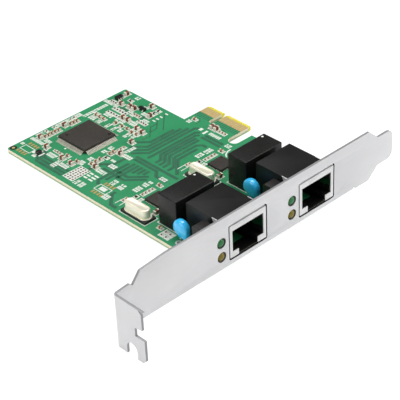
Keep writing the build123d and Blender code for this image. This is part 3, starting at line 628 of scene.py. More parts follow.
@dataclass(frozen=True)
class Finish:
    """One finish: two tones that cloud into each other, a range of roughness and a fine relief.

    Args:
        name: name of the material.
        slot: material slot of the record that it stands for. It is not used.
        tone: main colour, 0 to 255.
        second: colour that it clouds into.
        roughness: lowest and highest roughness.
        metallic: 1 for bare metal.
        clouds: clouds per millimetre.
        grain: grains per millimetre.
        relief: height of the grain, in millimetres.
        coat: weight of a clear coat.
        stretch: how far the grain is drawn out along each axis, as a divisor of its scale.
        specks: share of each millimetre that light specks take, 0 for none.
        specular: strength of its highlights.
    """

    name: str
    slot: str
    tone: Colour
    second: Colour
    roughness: tuple[float, float]
    metallic: float = 0.0
    clouds: float = 0.25
    grain: float = 6.0
    relief: float = 0.004
    coat: float = 0.0
    stretch: Triple = (1.0, 1.0, 1.0)
    specks: float = 0.0
    specular: float = 0.5

    def material(self) -> bpy.types.Material:
        """Builds the material, or returns it if it is built already."""
        title = f"dressed_{self.name}"
        made = bpy.data.materials.get(title)
        if made is None:
            made = bpy.data.materials.new(title)
            self._wire(Wiring.afresh(made))
        return made

    def colour(self, wiring: Wiring, place: Socket) -> Socket:
        """Wires the colour: the two tones mixed by clouds, light specks, and what the finish lays over them.

        Args:
            wiring: wiring of the material.
            place: object coordinates.

        Returns:
            The colour.
        """
        feeds = {"Vector": place, "Scale": self.clouds / MM, "Low": 0.0, "High": 1.0}
        mixed = wiring.mix(wiring.shared(GROUPS.grain, feeds), linear(self.tone), linear(self.second))
        if self.specks:
            light = tuple(min(255.0, SPECK_GAIN * c + SPECK_LIFT) for c in self.tone)
            feeds = {"Vector": place, "Scale": self.grain / MM, "Size": self.specks}
            mixed = wiring.mix(wiring.shared(GROUPS.specks, feeds), mixed, linear(light))
        return self.overlaid(wiring, place, mixed)

    def overlaid(self, wiring: Wiring, place: Socket, base: Socket) -> Socket:
        """Lays other colours over the base. A plain finish has none."""
        return base

    def _wire(self, wiring: Wiring) -> None:
        """Wires the whole material on object coordinates."""
        place = wiring.add("ShaderNodeTexCoord").outputs["Object"]
        low, high = self.roughness
        feeds = {"Vector": place, "Stretch": self.stretch, "Scale": self.grain / MM}
        height = wiring.shared(GROUPS.brushing, {**feeds, "Low": 0.0, "High": 1.0})
        swell = {"Height": height, "Distance": self.relief * MM, "Strength": BUMP_STRENGTH}
        bump = wiring.add("ShaderNodeBump", swell)
        feeds = {
            "Base Color": self.colour(wiring, place),
            "Roughness": wiring.shared(GROUPS.brushing, {**feeds, "Low": low, "High": high}),
            "Metallic": self.metallic,
            "Coat Weight": self.coat,
            "Specular IOR Level": self.specular,
            "Normal": bump.outputs[0],
        }
        shader = wiring.add("ShaderNodeBsdfPrincipled", feeds)
        wiring.add("ShaderNodeOutputMaterial", {0: shader.outputs[0]})


@dataclass(frozen=True)
class LaminateFinish(Finish):
    """Solder mask on the faces of the board, bare laminate on its edges and on the tongue of its card edge.

    Args:
        core: colour of the cut edges.
        lower_core: colour of their lower layers.
        lower_from: where those layers start, along z.
        lower_blend: over what height they set in.
        bare: colour of the tongue between its contacts.
        tip: colour of the bevelled tip.
        bare_from: where the mask ends on the tongue, along y.
        tip_from: where the bevel starts, along y.
        tongue: sides of the tongue, along x.
        upright: share of the normal along z below which a face counts as a cut edge.
    """

    core: Colour = (238, 228, 198)
    lower_core: Colour = (150, 176, 128)
    lower_from: float = -0.95
    lower_blend: float = 0.12
    bare: Colour = (200, 158, 120)
    tip: Colour = (232, 218, 58)
    bare_from: float = -5.35
    tip_from: float = -1.65
    tongue: Point = (-9.5, 12.6)
    upright: float = 0.7

    def overlaid(self, wiring: Wiring, place: Socket, base: Socket) -> Socket:
        """Lays the bare tongue over the mask, then the layers of the cut edges, then the bevel."""
        x, y, z = wiring.millimetres(place)
        tongue = wiring.product(wiring.between(x, *self.tongue), wiring.past(y, self.bare_from))
        mixed = wiring.mix(tongue, base, linear(self.bare))
        upper = wiring.before(z, self.lower_from, self.lower_blend)
        layers = wiring.mix(upper, linear(self.core), linear(self.lower_core))
        mixed = wiring.mix(wiring.before(wiring.away()[2], self.upright), mixed, layers)
        return wiring.mix(wiring.past(y, self.tip_from), mixed, linear(self.tip))


@dataclass(frozen=True)
class SheetFinish(Finish):
    """Plated sheet of the bracket: its cut edges darker, partly in their own tone and partly painted shade, and
    painted shade on the window edges round the jacks.

    Args:
        sheared_and_shaded: colour of the cut edges: the cut steel's own darker tone, with painted shade in it.
        shade: painted shade on the cut edges that face the jacks.
        inner_face: where the plate's inner face lies, along x.
        fold: where the plate passes into the tab, along x.
        fold_end: where the fold ends, along y.
        windows: middles of the two windows, along y.
        window_reach: half their width and a little over.
        window_span: their foot and top and a little over, along z.
        squarely: share of the normal along an axis from which a face counts as looking that way.
        blends: over what share the tones of the cut edges and of the painted shade set in.
    """

    # Cut edges darker: their own tone and painted shade.
    sheared_and_shaded: Colour = (150, 150, 152)
    # Painted shade on the window edges round the jacks.
    shade: Colour = (42, 42, 44)
    inner_face: float = 59.9
    fold: float = 61.9
    fold_end: float = -102.0
    windows: Point = PORTS
    window_reach: float = 8.6
    window_span: Point = (-1.0, 12.7)
    squarely: float = 0.6
    blends: Point = (0.15, 0.1)

    def overlaid(self, wiring: Wiring, place: Socket, base: Socket) -> Socket:
        """Lays the cut edges' darker tone, partly painted shade, then the painted shade round the windows over
        the plate's, by place and by the way each face looks.
        """
        x, y, z = wiring.millimetres(place)
        away = wiring.away()
        edge_blend, shade_blend = self.blends
        steep = [wiring.past(look, self.squarely, edge_blend) for look in away]
        plate = wiring.between(x, self.inner_face, self.fold)
        edges = (
            (wiring.past(x, self.inner_face), steep[2]),
            (plate, wiring.past(y, self.fold_end), steep[1]),
            (wiring.past(x, self.fold), steep[0]),
        )
        # Cut edges: their own darker tone, with painted shade in it.
        for masks in edges:
            base = wiring.mix(wiring.product(*masks), base, linear(self.sheared_and_shaded))
        # Painted shade on the window edges round the jacks.
        for window in self.windows:
            aside = wiring.before(away[0], self.squarely, shade_blend)
            across = wiring.between(y, window - self.window_reach, window + self.window_reach)
            masks = (plate, aside, across, wiring.between(z, *self.window_span))
            base = wiring.mix(wiring.product(*masks), base, linear(self.shade))
        return base


@dataclass(frozen=True)
class ShieldFinish(Finish):
    """Tin of the jacks' shields, with the deep shade of the cavity painted on their inner faces.

    Args:
        inside: painted shade of the cavity on the inner faces, a dark green.
        front: where the front rim starts, along x.
        ports: middles of the two jacks, along y.
        reach: half the distance between the inner faces and a little over.
        top: the inner face of the upper wall and a little over, along z.
    """

    # Painted shade of the cavity.
    inside: Colour = (12, 66, 36)
    front: float = 60.51
    ports: Point = PORTS
    reach: float = 7.62
    top: float = 11.47

    def overlaid(self, wiring: Wiring, place: Socket, base: Socket) -> Socket:
        """Lays the painted shade over each port's inner faces."""
        x, y, z = wiring.millimetres(place)
        for port in self.ports:
            across = wiring.between(y, port - self.reach, port + self.reach)
            masks = (across, wiring.before(x, self.front), wiring.before(z, self.top))
            base = wiring.mix(wiring.product(*masks), base, linear(self.inside))
        return base


@dataclass(frozen=True)
class ContactFinish(Finish):
    """Gold of the contacts, with the bevelled tip of the card edge in the laminate's colour.

    Args:
        tip: colour of the bevel.
        tip_from: where the bevel starts, along y.
    """

    tip: Colour = LaminateFinish.tip
    tip_from: float = LaminateFinish.tip_from

    def overlaid(self, wiring: Wiring, place: Socket, base: Socket) -> Socket:
        """Lays the bevel over the gold."""
        return wiring.mix(wiring.past(wiring.millimetres(place)[1], self.tip_from), base, linear(self.tip))


@dataclass(frozen=True)
class LensFinish(Finish):
    """Diffused resin of a small light: coloured, a little clear and glossy, with a lighter middle painted in as
    light that the resin scatters.

    Args:
        painted_glow: painted light: the lighter colour laid on where the resin faces the viewer.
        blend: how narrow the part is that shows it.
    """

    # Painted light in the middle of the resin.
    painted_glow: Colour = (200, 200, 200)
    blend: float = 0.35

    def overlaid(self, wiring: Wiring, place: Socket, base: Socket) -> Socket:
        """Lays the painted light over the middle of the resin, where it looks at the viewer."""
        facing = wiring.add("ShaderNodeLayerWeight", {"Blend": self.blend}).outputs["Facing"]
        return wiring.mix(facing, linear(self.painted_glow), base)


class Finishes:
    """Every finish on the card."""

    mask = LaminateFinish(
        "green_mask", "laminate", (37, 137, 86), (48, 147, 98), (0.3, 0.42),
        clouds=0.06, grain=3.0, relief=0.002,
    )
    clearance = Finish(
        "dark_mask", "laminate", (38, 88, 66), (48, 98, 74), (0.34, 0.46), clouds=0.3, grain=3.0
    )
    run = Finish(
        "mask_over_copper", "laminate", (45, 118, 84), (52, 130, 92), (0.3, 0.42), clouds=0.3, grain=3.0
    )
    ink = Finish(
        "white_print", "laminate", (236, 238, 230), (214, 220, 208), (0.5, 0.65), clouds=1.5, grain=8.0
    )
    gold = ContactFinish(
        "gold_plate", "gold_plate", (212, 196, 134), (202, 184, 122), (0.28, 0.42), metallic=0.3, clouds=0.8
    )
    pad = Finish(
        "tinned_pad", "lead_tin", (238, 234, 224), (216, 212, 202), (0.3, 0.5), metallic=0.25, clouds=1.5
    )
    bare_pad = Finish(
        "bare_pad", "gold_plate", (214, 176, 112), (190, 152, 94), (0.35, 0.5), metallic=0.4, clouds=1.5
    )
    zinc = SheetFinish(
        "zinc_sheet", "bracket_steel", (222, 222, 223), (214, 214, 216), (0.42, 0.52), metallic=0.3,
        clouds=0.05, grain=1.2, relief=0.003, stretch=(1.0, 0.06, 1.0),
    )
    screw = Finish("screw_zinc", "screw_steel", (200, 200, 202), (180, 180, 184), (0.3, 0.42), metallic=0.9)
    tin = ShieldFinish(
        "shield_tin", "shield_tin", (226, 226, 226), (214, 214, 214), (0.3, 0.4), metallic=0.35, clouds=0.2
    )
    jack = Finish(
        "jack_moulding", "jack_moulding", (24, 24, 23), (18, 18, 18), (0.36, 0.48),
        clouds=0.2, grain=9.0, specular=0.22,
    )
    wire = Finish(
        "contact_gold", "contact_wire", (214, 170, 80), (196, 150, 66), (0.25, 0.35), metallic=0.95
    )
    module = Finish(
        "module_epoxy", "module_epoxy", (28, 27, 26), (20, 20, 19), (0.26, 0.36),
        clouds=0.2, grain=5.0, relief=0.005, specks=0.13, specular=0.28,
    )
    holder = Finish(
        "holder_moulding", "holder_moulding", (34, 31, 29), (26, 24, 23), (0.4, 0.52), clouds=0.4, specular=0.25
    )
    # The lenses' lighter middles are painted light.
    green = LensFinish(
        "green_resin", "green_lens", (20, 88, 42), (8, 56, 22), (0.2, 0.3),
        clouds=0.8, coat=0.12, specular=0.3, painted_glow=(34, 122, 60),
    )
    yellow = LensFinish(
        "yellow_resin", "yellow_lens", (100, 86, 4), (58, 48, 2), (0.2, 0.3),
        clouds=0.8, coat=0.12, specular=0.3, painted_glow=(132, 116, 14),
    )
    blue = Finish(
        "blue_dip", "disc_coating", (48, 192, 253), (66, 202, 255), (0.14, 0.26),
        clouds=0.3, grain=1.2, relief=0.02, coat=0.6,
    )
    lead = Finish(
        "tinned_lead", "lead_tin", (236, 228, 214), (214, 206, 192), (0.3, 0.45), metallic=0.25, clouds=1.0
    )
    solder = Finish(
        "solder", "solder", (196, 196, 192), (172, 172, 170), (0.25, 0.4), metallic=0.85, clouds=1.2
    )
    epoxy = Finish(
        "chip_epoxy", "chip_epoxy", (60, 56, 51), (52, 48, 45), (0.42, 0.54),
        clouds=0.2, grain=8.0, relief=0.005, specks=0.14, specular=0.25,
    )
    base = Finish("base_moulding", "base_moulding", (24, 24, 24), (18, 18, 18), (0.45, 0.6), clouds=0.6)
    can = Finish(
        "can_nickel", "can_steel", (255, 252, 232), (244, 238, 212), (0.3, 0.44), metallic=0.3,
        clouds=0.3, grain=2.0, stretch=(0.08, 1.0, 1.0),
    )
    brown = Finish(
        "brown_ceramic", "ceramic", (128, 72, 38), (96, 50, 24), (0.4, 0.55), clouds=0.7, grain=8.0
    )
    tan = Finish(
        "tan_ceramic", "ceramic", (158, 112, 58), (124, 84, 42), (0.4, 0.55), clouds=0.7, grain=8.0
    )
    black = Finish(
        "black_glaze", "resistor_glaze", (26, 25, 26), (18, 17, 18), (0.2, 0.35), clouds=0.7, coat=0.3
    )
    end = Finish(
        "plated_end", "ceramic", (244, 238, 226), (222, 214, 202), (0.32, 0.46), metallic=0.2, clouds=1.5
    )
    # Holes painted as flat spots: the shade in a hole's barrel.
    slot = Finish("painted_hole_shade", "laminate", (128, 116, 108), (100, 88, 82), (0.5, 0.7), clouds=1.5)


# Pieces


def added(name: str, data: bpy.types.ID) -> bpy.types.Object:
    """Makes an object of a mesh, a lamp or a camera, and puts it in the scene."""
    item = bpy.data.objects.new(name, data)
    bpy.context.scene.collection.objects.link(item)
    return item


def coated(mesh: bpy.types.Mesh, finish: Finish) -> None:
    """Gives a mesh one finish, in place of what it had."""
    mesh.materials.clear()
    mesh.materials.append(finish.material())


def outward(mesh: bpy.types.Mesh, loose: bool = False) -> None:
    """Turns every face of a closed mesh outwards and shades it smooth.

    Args:
        mesh: the mesh, which is changed.
        loose: whether it is made of loose triangles, which are first merged into flat faces.
    """
    work = bmesh.new()
    work.from_mesh(mesh)
    if loose:
        bmesh.ops.remove_doubles(work, verts=work.verts, dist=MERGED)
        bmesh.ops.dissolve_limit(work, angle_limit=FLAT_ANGLE, verts=work.verts, edges=work.edges)
    bmesh.ops.recalc_face_normals(work, faces=work.faces)
    work.to_mesh(mesh)
    work.free()
    mesh.shade_smooth()


def placed(name: str, mesh: bpy.types.Mesh, finish: Finish, *stands_for: str) -> bpy.types.Object:
    """Puts a mesh on the card as a piece with its finish, and reports it.

    Args:
        name: name of the piece.
        mesh: its mesh.
        finish: its finish.
        stands_for: nodes of the frame that it replaces.

    Returns:
        The new object, riding on the card.
    """
    piece = added(name, mesh)
    coated(mesh, finish)
    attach(piece, BODY)
    if stands_for:
        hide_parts(*stands_for)
    LOG.info("%s: %d faces, %s", name, len(mesh.polygons), finish.name)
    return piece


def finished(name: str, shape: Shape, finish: Finish, *stands_for: str, smooth: float = SMOOTH_ANGLE) -> None:
    """Makes a piece of the card from a shape.

    Args:
        name: name of the piece.
        shape: its points and faces, in millimetres.
        finish: its finish.
        stands_for: nodes of the frame that it replaces.
        smooth: angle in radians under which neighbouring faces shade as one.
    """
    mesh = bpy.data.meshes.new(name)
    faces = [row for group in shape.faces for row in group.tolist()]
    mesh.from_pydata((shape.points * MM).tolist(), [], faces)
    outward(mesh)
    mesh.set_sharp_from_angle(angle=smooth)
    placed(name, mesh, finish, *stands_for)


def eased(name: str, node: str, finish: Finish, radius: float) -> None:
    """Makes a piece from a node of the frame with its sharp edges eased, as folding and moulding leave them.

    Args:
        name: name of the piece.
        node: node of the frame, which the piece replaces.
        finish: its finish.
        radius: radius of the eased edges, in millimetres.
    """
    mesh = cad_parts[node].data.copy()
    mesh.name = name
    outward(mesh, loose=True)
    bevel = placed(name, mesh, finish, node).modifiers.new("eased_edges", "BEVEL")
    bevel.width = radius * MM
    bevel.segments = 2
    bevel.limit_method = "ANGLE"
    bevel.angle_limit = EASED_ANGLE
    bevel.harden_normals = True
    bevel.use_clamp_overlap = True


def dressed(finish: Finish, *nodes: str) -> None:
    """Gives nodes of the frame, whose shape is right as it is, their finish."""
    for node in nodes:
        coated(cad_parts[node].data, finish)
        LOG.info("%s: carried over, %s", node, finish.name)


@dataclass
class SlotBracket:
    """The folded bracket and the screws that hold it to the board.

    Args:
        edge_radius: radius that blanking and plating leave on the sheet's edges.
        screw_radius: the same on the screws.
    """

    edge_radius: float = 0.09
    screw_radius: float = 0.15

    def build(self) -> None:
        """Builds the bracket and its screws."""
        eased("bracket_sheet", "bracket", Finishes.zinc, self.edge_radius)
        eased("bracket_screw_pair", "bracket_screws", Finishes.screw, self.screw_radius)


@dataclass
class Copper:
    """Copper under the solder mask: pairs of runs with a dark clearance round them, contacts' tails and vias.

    Args:
        clearance: width of the gap in the copper that holds one pair.
        width: width of one run.
        spread: distance of each run of a pair from the middle of its gap.
        single: width of the gap beside a single run.
        rise: step between the heights of gaps that cross.
        rises: how many such steps there are.
        tail_end: where the tails of the contacts end, along y.
        via_radius: radius of a via's land.
        via_dip: height of its middle.
        seed: seed of the vias' places.
    """

    clearance: float = 1.22
    width: float = 0.15
    spread: float = 0.3
    single: float = 0.34
    rise: float = 0.0012
    rises: int = 5
    tail_end: float = -8.0
    via_radius: float = 0.28
    via_dip: float = 0.012
    seed: int = 11

    def pairs(self) -> list[list[Point]]:
        """Routes of the pairs, from the card edge out to the chips."""
        down = [
            [(-5.8, -19.8), (-5.8, -30.6), (-9.2, -34.0)],
            [(-4.3, -17.6), (-4.3, -33.2), (-8.7, -37.6)],
            [(-2.7, -15.8), (-2.7, -34.4), (-6.8, -38.5)],
            [(0.0, -13.4), (-1.1, -14.5), (-1.1, -35.5), (-5.4, -39.8)],
            [(2.3, -15.0), (1.0, -16.3), (1.0, -38.0)],
            [(3.4, -16.4), (2.5, -17.3), (2.5, -33.4), (5.0, -35.9), (5.0, -38.2)],
            [(3.9, -18.4), (3.9, -32.8), (6.9, -35.8), (6.9, -38.4)],
            [(5.4, -18.6), (5.4, -32.2), (8.8, -35.6), (8.8, -38.4)],
            [(10.6, -20.0), (8.8, -20.0), (7.2, -21.6), (7.2, -31.8), (11.4, -36.0), (11.4, -38.6)],
            [(9.0, -22.8), (9.0, -31.8), (15.4, -38.2)],
            [(-1.2, -44.4), (-1.2, -57.8), (0.6, -59.6)],
            [(0.5, -43.2), (0.5, -56.2)],
            [(2.2, -43.0), (2.2, -53.4)],
            [(3.9, -43.0), (3.9, -47.6)],
            [(5.6, -43.0), (5.6, -46.8)],
            [(7.3, -43.0), (7.3, -45.8)],
            [(-8.4, -57.4), (-8.4, -51.8), (-4.4, -47.8), (-4.4, -43.0)],
        ]
        across = [
            [(4.8, -15.2), (13.5, -15.2)],
            [(4.6, -16.8), (13.7, -16.8)],
            [(-2.6, -39.9), (17.6, -39.9)],
            [(-2.0, -41.4), (9.0, -41.4), (11.2, -43.6), (16.2, -43.6)],
            [(9.6, -45.2), (4.6, -50.2), (-5.8, -50.2)],
            [(10.4, -46.8), (5.0, -52.2), (-5.4, -52.2)],
            [(-29.4, -56.8), (-25.0, -61.2), (-12.4, -61.2)],
            [(-28.6, -59.4), (-25.2, -62.8), (-12.4, -62.8)],
            [(-27.6, -61.9), (-25.2, -64.3), (-12.4, -64.3)],
            [(8.3, -58.6), (8.3, -60.2), (12.5, -64.4), (15.2, -64.4)],
            [(-30.6, -22.6), (-20.4, -22.6), (-16.8, -19.0)],
        ]
        return down + across

    def singles(self) -> list[list[Point]]:
        """Routes of the single runs: fans off the small parts, and one tail behind each contact."""
        slopes = [
            [(-15.6, -15.2), (-8.2, -22.6)],
            [(-14.4, -19.6), (-10.6, -23.4), (-10.6, -26.4)],
            [(-13.4, -23.6), (-8.2, -28.8)],
            [(-12.8, -21.0), (-12.8, -24.0)],
            [(-4.6, -8.6), (-3.0, -10.2), (-3.0, -12.0)],
            [(-9.0, -29.0), (-9.0, -31.6)],
            [(4.6, -8.8), (8.2, -8.8)],
        ]
        ends = [((low[0] + high[0]) / 2, low[1]) for low, high in solids_in("edge_contacts_top")]
        return slopes + [[(x, y), (x, self.tail_end)] for x, y in ends]

    def vias(self) -> np.ndarray:
        """Places of the vias: scattered over the fields of the board, with none in the dense pairs."""
        rng = np.random.default_rng(self.seed)
        fields = [(-37, -65, -12, -14, 46), (-12, -58, 0, -44, 10), (5, -38, 8, -20, 8), (9, -62, 30, -14, 22)]
        spots = [
            np.column_stack([rng.uniform(x0, x1, count), rng.uniform(y0, y1, count)])
            for x0, y0, x1, y1, count in fields
        ]
        return np.vstack(spots)

    def build(self) -> None:
        """Builds the clearances, the runs, the vias and the contacts' finish."""
        gap, top, under = Layer.CLEARANCE.value, Layer.COPPER.value, -Layer.COPPER.value
        gaps, runs = [], []
        for k, route in enumerate(self.pairs()):
            gaps.append(ribbon(route, self.clearance, under, gap + self.rise * (k % self.rises)))
            runs += [ribbon(route, self.width, under, top, side * self.spread) for side in (-1, 1)]
        gaps += [ribbon(route, self.single, under, gap / 2) for route in self.singles()]
        finished("mask_clearances", joined(gaps), Finishes.clearance)
        finished("mask_runs", joined(runs), Finishes.run)
        spots = self.vias()
        radius = self.via_radius
        land = lathe([(radius, under), (radius, top), (radius / 2, self.via_dip)], 10)
        finished("via_lands", land.repeated(np.column_stack([spots, np.zeros(len(spots))])), Finishes.run)
        dressed(Finishes.mask, "circuit_board")
        dressed(Finishes.gold, "edge_contacts_top", "edge_contacts_bottom")


@dataclass
class WhitePrint:
    """White print on the component face: frames round the small parts, outlines and fields of short strokes.

    Args:
        line: width of a printed line.
        margin: distance of a frame from the part in it.
        stroke: width of a stroke in a field.
        cell: width and height of one group of strokes.
        inset: how far a group starts inside its cell.
        apart: room that a cell leaves free across and up.
        kept: share of the strokes that are kept.
        seed: seed of the choice of strokes.
        rise: step between the heights of neighbouring plates.
        around: distance of an outline from the crystal or module in it, along x and y.
        header_at: place of the unused header's first hole.
        header_pitch: pitch of its holes along x and y.
        header_offset: how much higher every second column lies.
        hole: width of a spot of painted shade that stands for one of the header's holes.
        arc: route of the printed arc by the bracket.
        arc_width: its width.
        dot: place of the printed dot.
        dot_radius: its radius.
    """

    line: float = 0.28
    margin: float = 0.44
    stroke: float = 0.28
    cell: Point = (0.92, 1.25)
    inset: float = 0.08
    apart: Point = (0.18, 0.2)
    kept: float = 0.93
    seed: int = 5
    rise: float = 0.0015
    around: Point = (0.4, 0.5)
    header_at: Point = (-11.2, -63.6)
    header_pitch: Point = (1.2, 1.12)
    header_offset: float = 0.2
    hole: float = 0.74
    arc: tuple[Point, ...] = ((17.4, -15.4), (17.6, -17.0), (18.4, -18.6), (19.8, -19.8))
    arc_width: float = 0.5
    dot: Triple = (-24.0, -53.0, 0.0)
    dot_radius: float = 0.42

    framed = (
        "large_capacitors", "middle_capacitors", "small_capacitors", "middle_resistors", "small_resistors",
    )

    @staticmethod
    def fields() -> list[Rect]:
        """Fields of short strokes, where the board is marked beside its parts."""
        return [
            (-36.2, -35.4, -34.6, -24.2), (-6.4, -64.8, -4.7, -61.9), (-4.1, -64.8, -2.0, -61.9),
            (-38.5, -23.8, -31.5, -22.0), (-31.5, -15.2, -29.5, -13.2), (-34.0, -34.8, -30.8, -32.6),
            (-30.0, -34.8, -27.7, -32.8), (-25.3, -34.8, -23.7, -31.9), (-22.1, -34.8, -20.7, -31.9),
            (-19.8, -33.8, -17.7, -31.8), (-15.8, -34.8, -13.8, -32.0), (-13.3, -33.3, -11.7, -31.4),
            (-20.8, -28.0, -17.5, -25.4), (-38.4, -37.4, -36.2, -34.6), (-38.4, -45.9, -36.2, -40.4),
            (-38.4, -54.6, -36.9, -51.2), (-33.5, -55.0, -30.3, -53.2), (-38.0, -57.3, -31.5, -55.6),
            (-38.0, -61.5, -36.6, -60.0), (-26.1, -59.9, -21.9, -57.6), (-20.1, -61.2, -14.0, -59.1),
            (-20.1, -63.2, -17.8, -61.2), (-13.7, -43.3, -11.8, -41.2), (-13.7, -46.2, -11.8, -44.2),
            (-13.7, -52.4, -11.8, -50.2), (-14.5, -56.1, -11.8, -53.6), (-7.9, -41.2, -6.2, -36.3),
            (-6.2, -43.3, -2.4, -41.2), (-7.3, -47.6, -5.1, -46.3), (-5.3, -50.5, -2.1, -48.3),
            (-6.2, -55.1, -2.0, -53.0), (2.7, -54.9, 4.9, -53.8), (6.4, -54.9, 8.6, -53.8),
            (2.5, -56.9, 5.3, -55.1), (6.4, -56.9, 8.9, -55.1), (6.7, -63.9, 9.5, -61.2),
            (-6.9, -13.4, -5.0, -11.5), (4.9, -14.0, 10.3, -12.4), (14.3, -15.7, 16.7, -13.6),
            (11.6, -22.9, 13.8, -19.5), (11.4, -26.7, 13.5, -23.4), (16.5, -28.9, 18.4, -26.8),
            (12.7, -44.1, 15.8, -42.2), (11.6, -47.8, 13.5, -46.6), (11.1, -50.3, 13.5, -48.2),
            (11.1, -54.3, 13.5, -51.0), (16.8, -57.0, 18.5, -54.9), (35.4, -65.4, 40.2, -61.2),
            (-36.0, -22.0, -31.8, -20.4), (-30.8, -24.4, -27.4, -22.8), (-26.6, -24.0, -22.4, -21.6),
            (-36.4, -17.4, -34.2, -14.4), (-29.0, -20.2, -25.8, -18.2), (-22.0, -20.8, -19.0, -18.8),
            (-25.8, -29.6, -21.6, -27.4), (-31.6, -29.8, -27.6, -27.8), (-18.6, -24.0, -15.6, -21.8),
            (-35.0, -31.4, -31.8, -29.8), (-16.8, -31.2, -13.6, -29.2), (-24.8, -18.2, -22.2, -16.0),
        ]

    @staticmethod
    def patches() -> list[Rect]:
        """Solid fields, bars and polarity marks."""
        columns = ((-6.4, -4.7), (-4.1, -2.1))
        bars = [(x0, y - 0.35, x1, y + 0.35) for y in (-56.9, -58.3, -59.7) for x0, x1 in columns]
        marks = [(-15.7, y - 0.3, -14.4, y + 0.3) for y in (-14.6, -17.2, -18.9, -20.6)]
        return bars + marks + [
            (-29.2, -58.4, -27.5, -57.4), (-29.2, -63.6, -27.5, -62.7), (-27.2, -62.2, -26.6, -59.6),
            (-31.0, -62.2, -29.5, -60.8), (-11.9, -64.3, -6.9, -56.2), (2.6, -61.2, 5.5, -59.4),
            (0.3, -14.1, 1.6, -12.6), (3.0, -15.0, 3.9, -12.6),
            (12.9, -35.8, 13.2, -32.8), (14.6, -35.8, 14.9, -32.8),
            (12.7, -62.9, 13.0, -60.3), (14.7, -62.9, 15.0, -60.3),
        ]

    def outlines(self) -> list[Rect]:
        """Plain outlines: empty footprints, crystals and modules."""
        boxes = [(-35.9, -63.3, -30.7, -60.4), (1.2, -62.1, 7.0, -58.7)]
        for node in ("crystal_base_1", "crystal_base_2", "transformer_module_1", "transformer_module_2"):
            box = node_box(node)
            boxes.append((*(box.low[:2] - self.around), *(box.high[:2] + self.around)))
        return boxes

    def frames(self, boxes: list[Rect]) -> np.ndarray:
        """Four bars inside each box: two along its ends, and two between them along its sides.

        Args:
            boxes: the boxes.

        Returns:
            Array of bars.
        """
        x0, y0, x1, y1 = np.array(boxes, float).T
        w = self.line
        low, high = y0 + w, y1 - w
        bars = [(x0, high, x1, y1), (x0, y0, x1, low), (x0, low, x0 + w, high), (x1 - w, low, x1, high)]
        return np.concatenate([np.stack(bar, axis=1) for bar in bars])

    def part_boxes(self) -> list[Rect]:
        """The small parts' outlines, grown by the margin."""
        boxes = np.concatenate([solids_in(node) for node in self.framed])
        low, high = boxes[:, 0, :2] - self.margin, boxes[:, 1, :2] + self.margin
        return [tuple(row) for row in np.column_stack([low, high]).tolist()]

    def strokes(self) -> np.ndarray:
        """Fills each field with cells of strokes.

        Each cell has bars at its sides, foot, middle and top, of which the seed leaves some out.

        Returns:
            Array of bars.
        """
        rng = np.random.default_rng(self.seed)
        s, rows = self.stroke, []
        for x0, y0, x1, y1 in self.fields():
            across = max(1, round((x1 - x0) / self.cell[0]))
            up = max(1, round((y1 - y0) / self.cell[1]))
            i, j = np.meshgrid(np.arange(across), np.arange(up), indexing="ij")
            w, h = (x1 - x0) / across, (y1 - y0) / up
            left, low = (x0 + i * w).ravel() + self.inset, (y0 + j * h).ravel() + self.inset
            right, high = left + w - self.apart[0], low + h - self.apart[1]
            middle = (low + high) / 2
            bars = np.stack([
                np.column_stack([left, low, left + s, high]),
                np.column_stack([right - s, low, right, high]),
                np.column_stack([left + s, low, right - s, low + s]),
                np.column_stack([left + s, middle - s / 2, right - s, middle + s / 2]),
                np.column_stack([left + s, high - s, right - s, high]),
            ])
            rows.append(bars[rng.random(bars.shape[:2]) < self.kept])
        return np.vstack(rows)

    def header(self) -> np.ndarray:
        """Squares of the unused header: four columns of seven, every second column a little higher."""
        i, j = np.meshgrid(np.arange(4), np.arange(7), indexing="ij")
        x = (self.header_at[0] + self.header_pitch[0] * i).ravel()
        y = (self.header_at[1] + self.header_pitch[1] * j + self.header_offset * (i % 2)).ravel()
        half = self.hole / 2
        return np.column_stack([x - half, y - half, x + half, y + half])

    def build(self) -> None:
        """Builds the whole print as one piece, with the unused header's holes as spots of painted shade."""
        high, under = Layer.PRINT.value, -Layer.PRINT.value
        frames = self.frames(self.part_boxes() + self.outlines())
        bars = slabs(np.vstack([frames, self.patches(), self.strokes()]), under, high, self.rise)
        arc = ribbon(self.arc, self.arc_width, under, high)
        dot = disc(self.dot, self.dot_radius, under, high, 14)
        finished("board_print", joined([bars, arc, dot]), Finishes.ink)
        finished("header_hole_shade", slabs(self.header(), 0.0, high + Layer.HOLE.value), Finishes.slot)


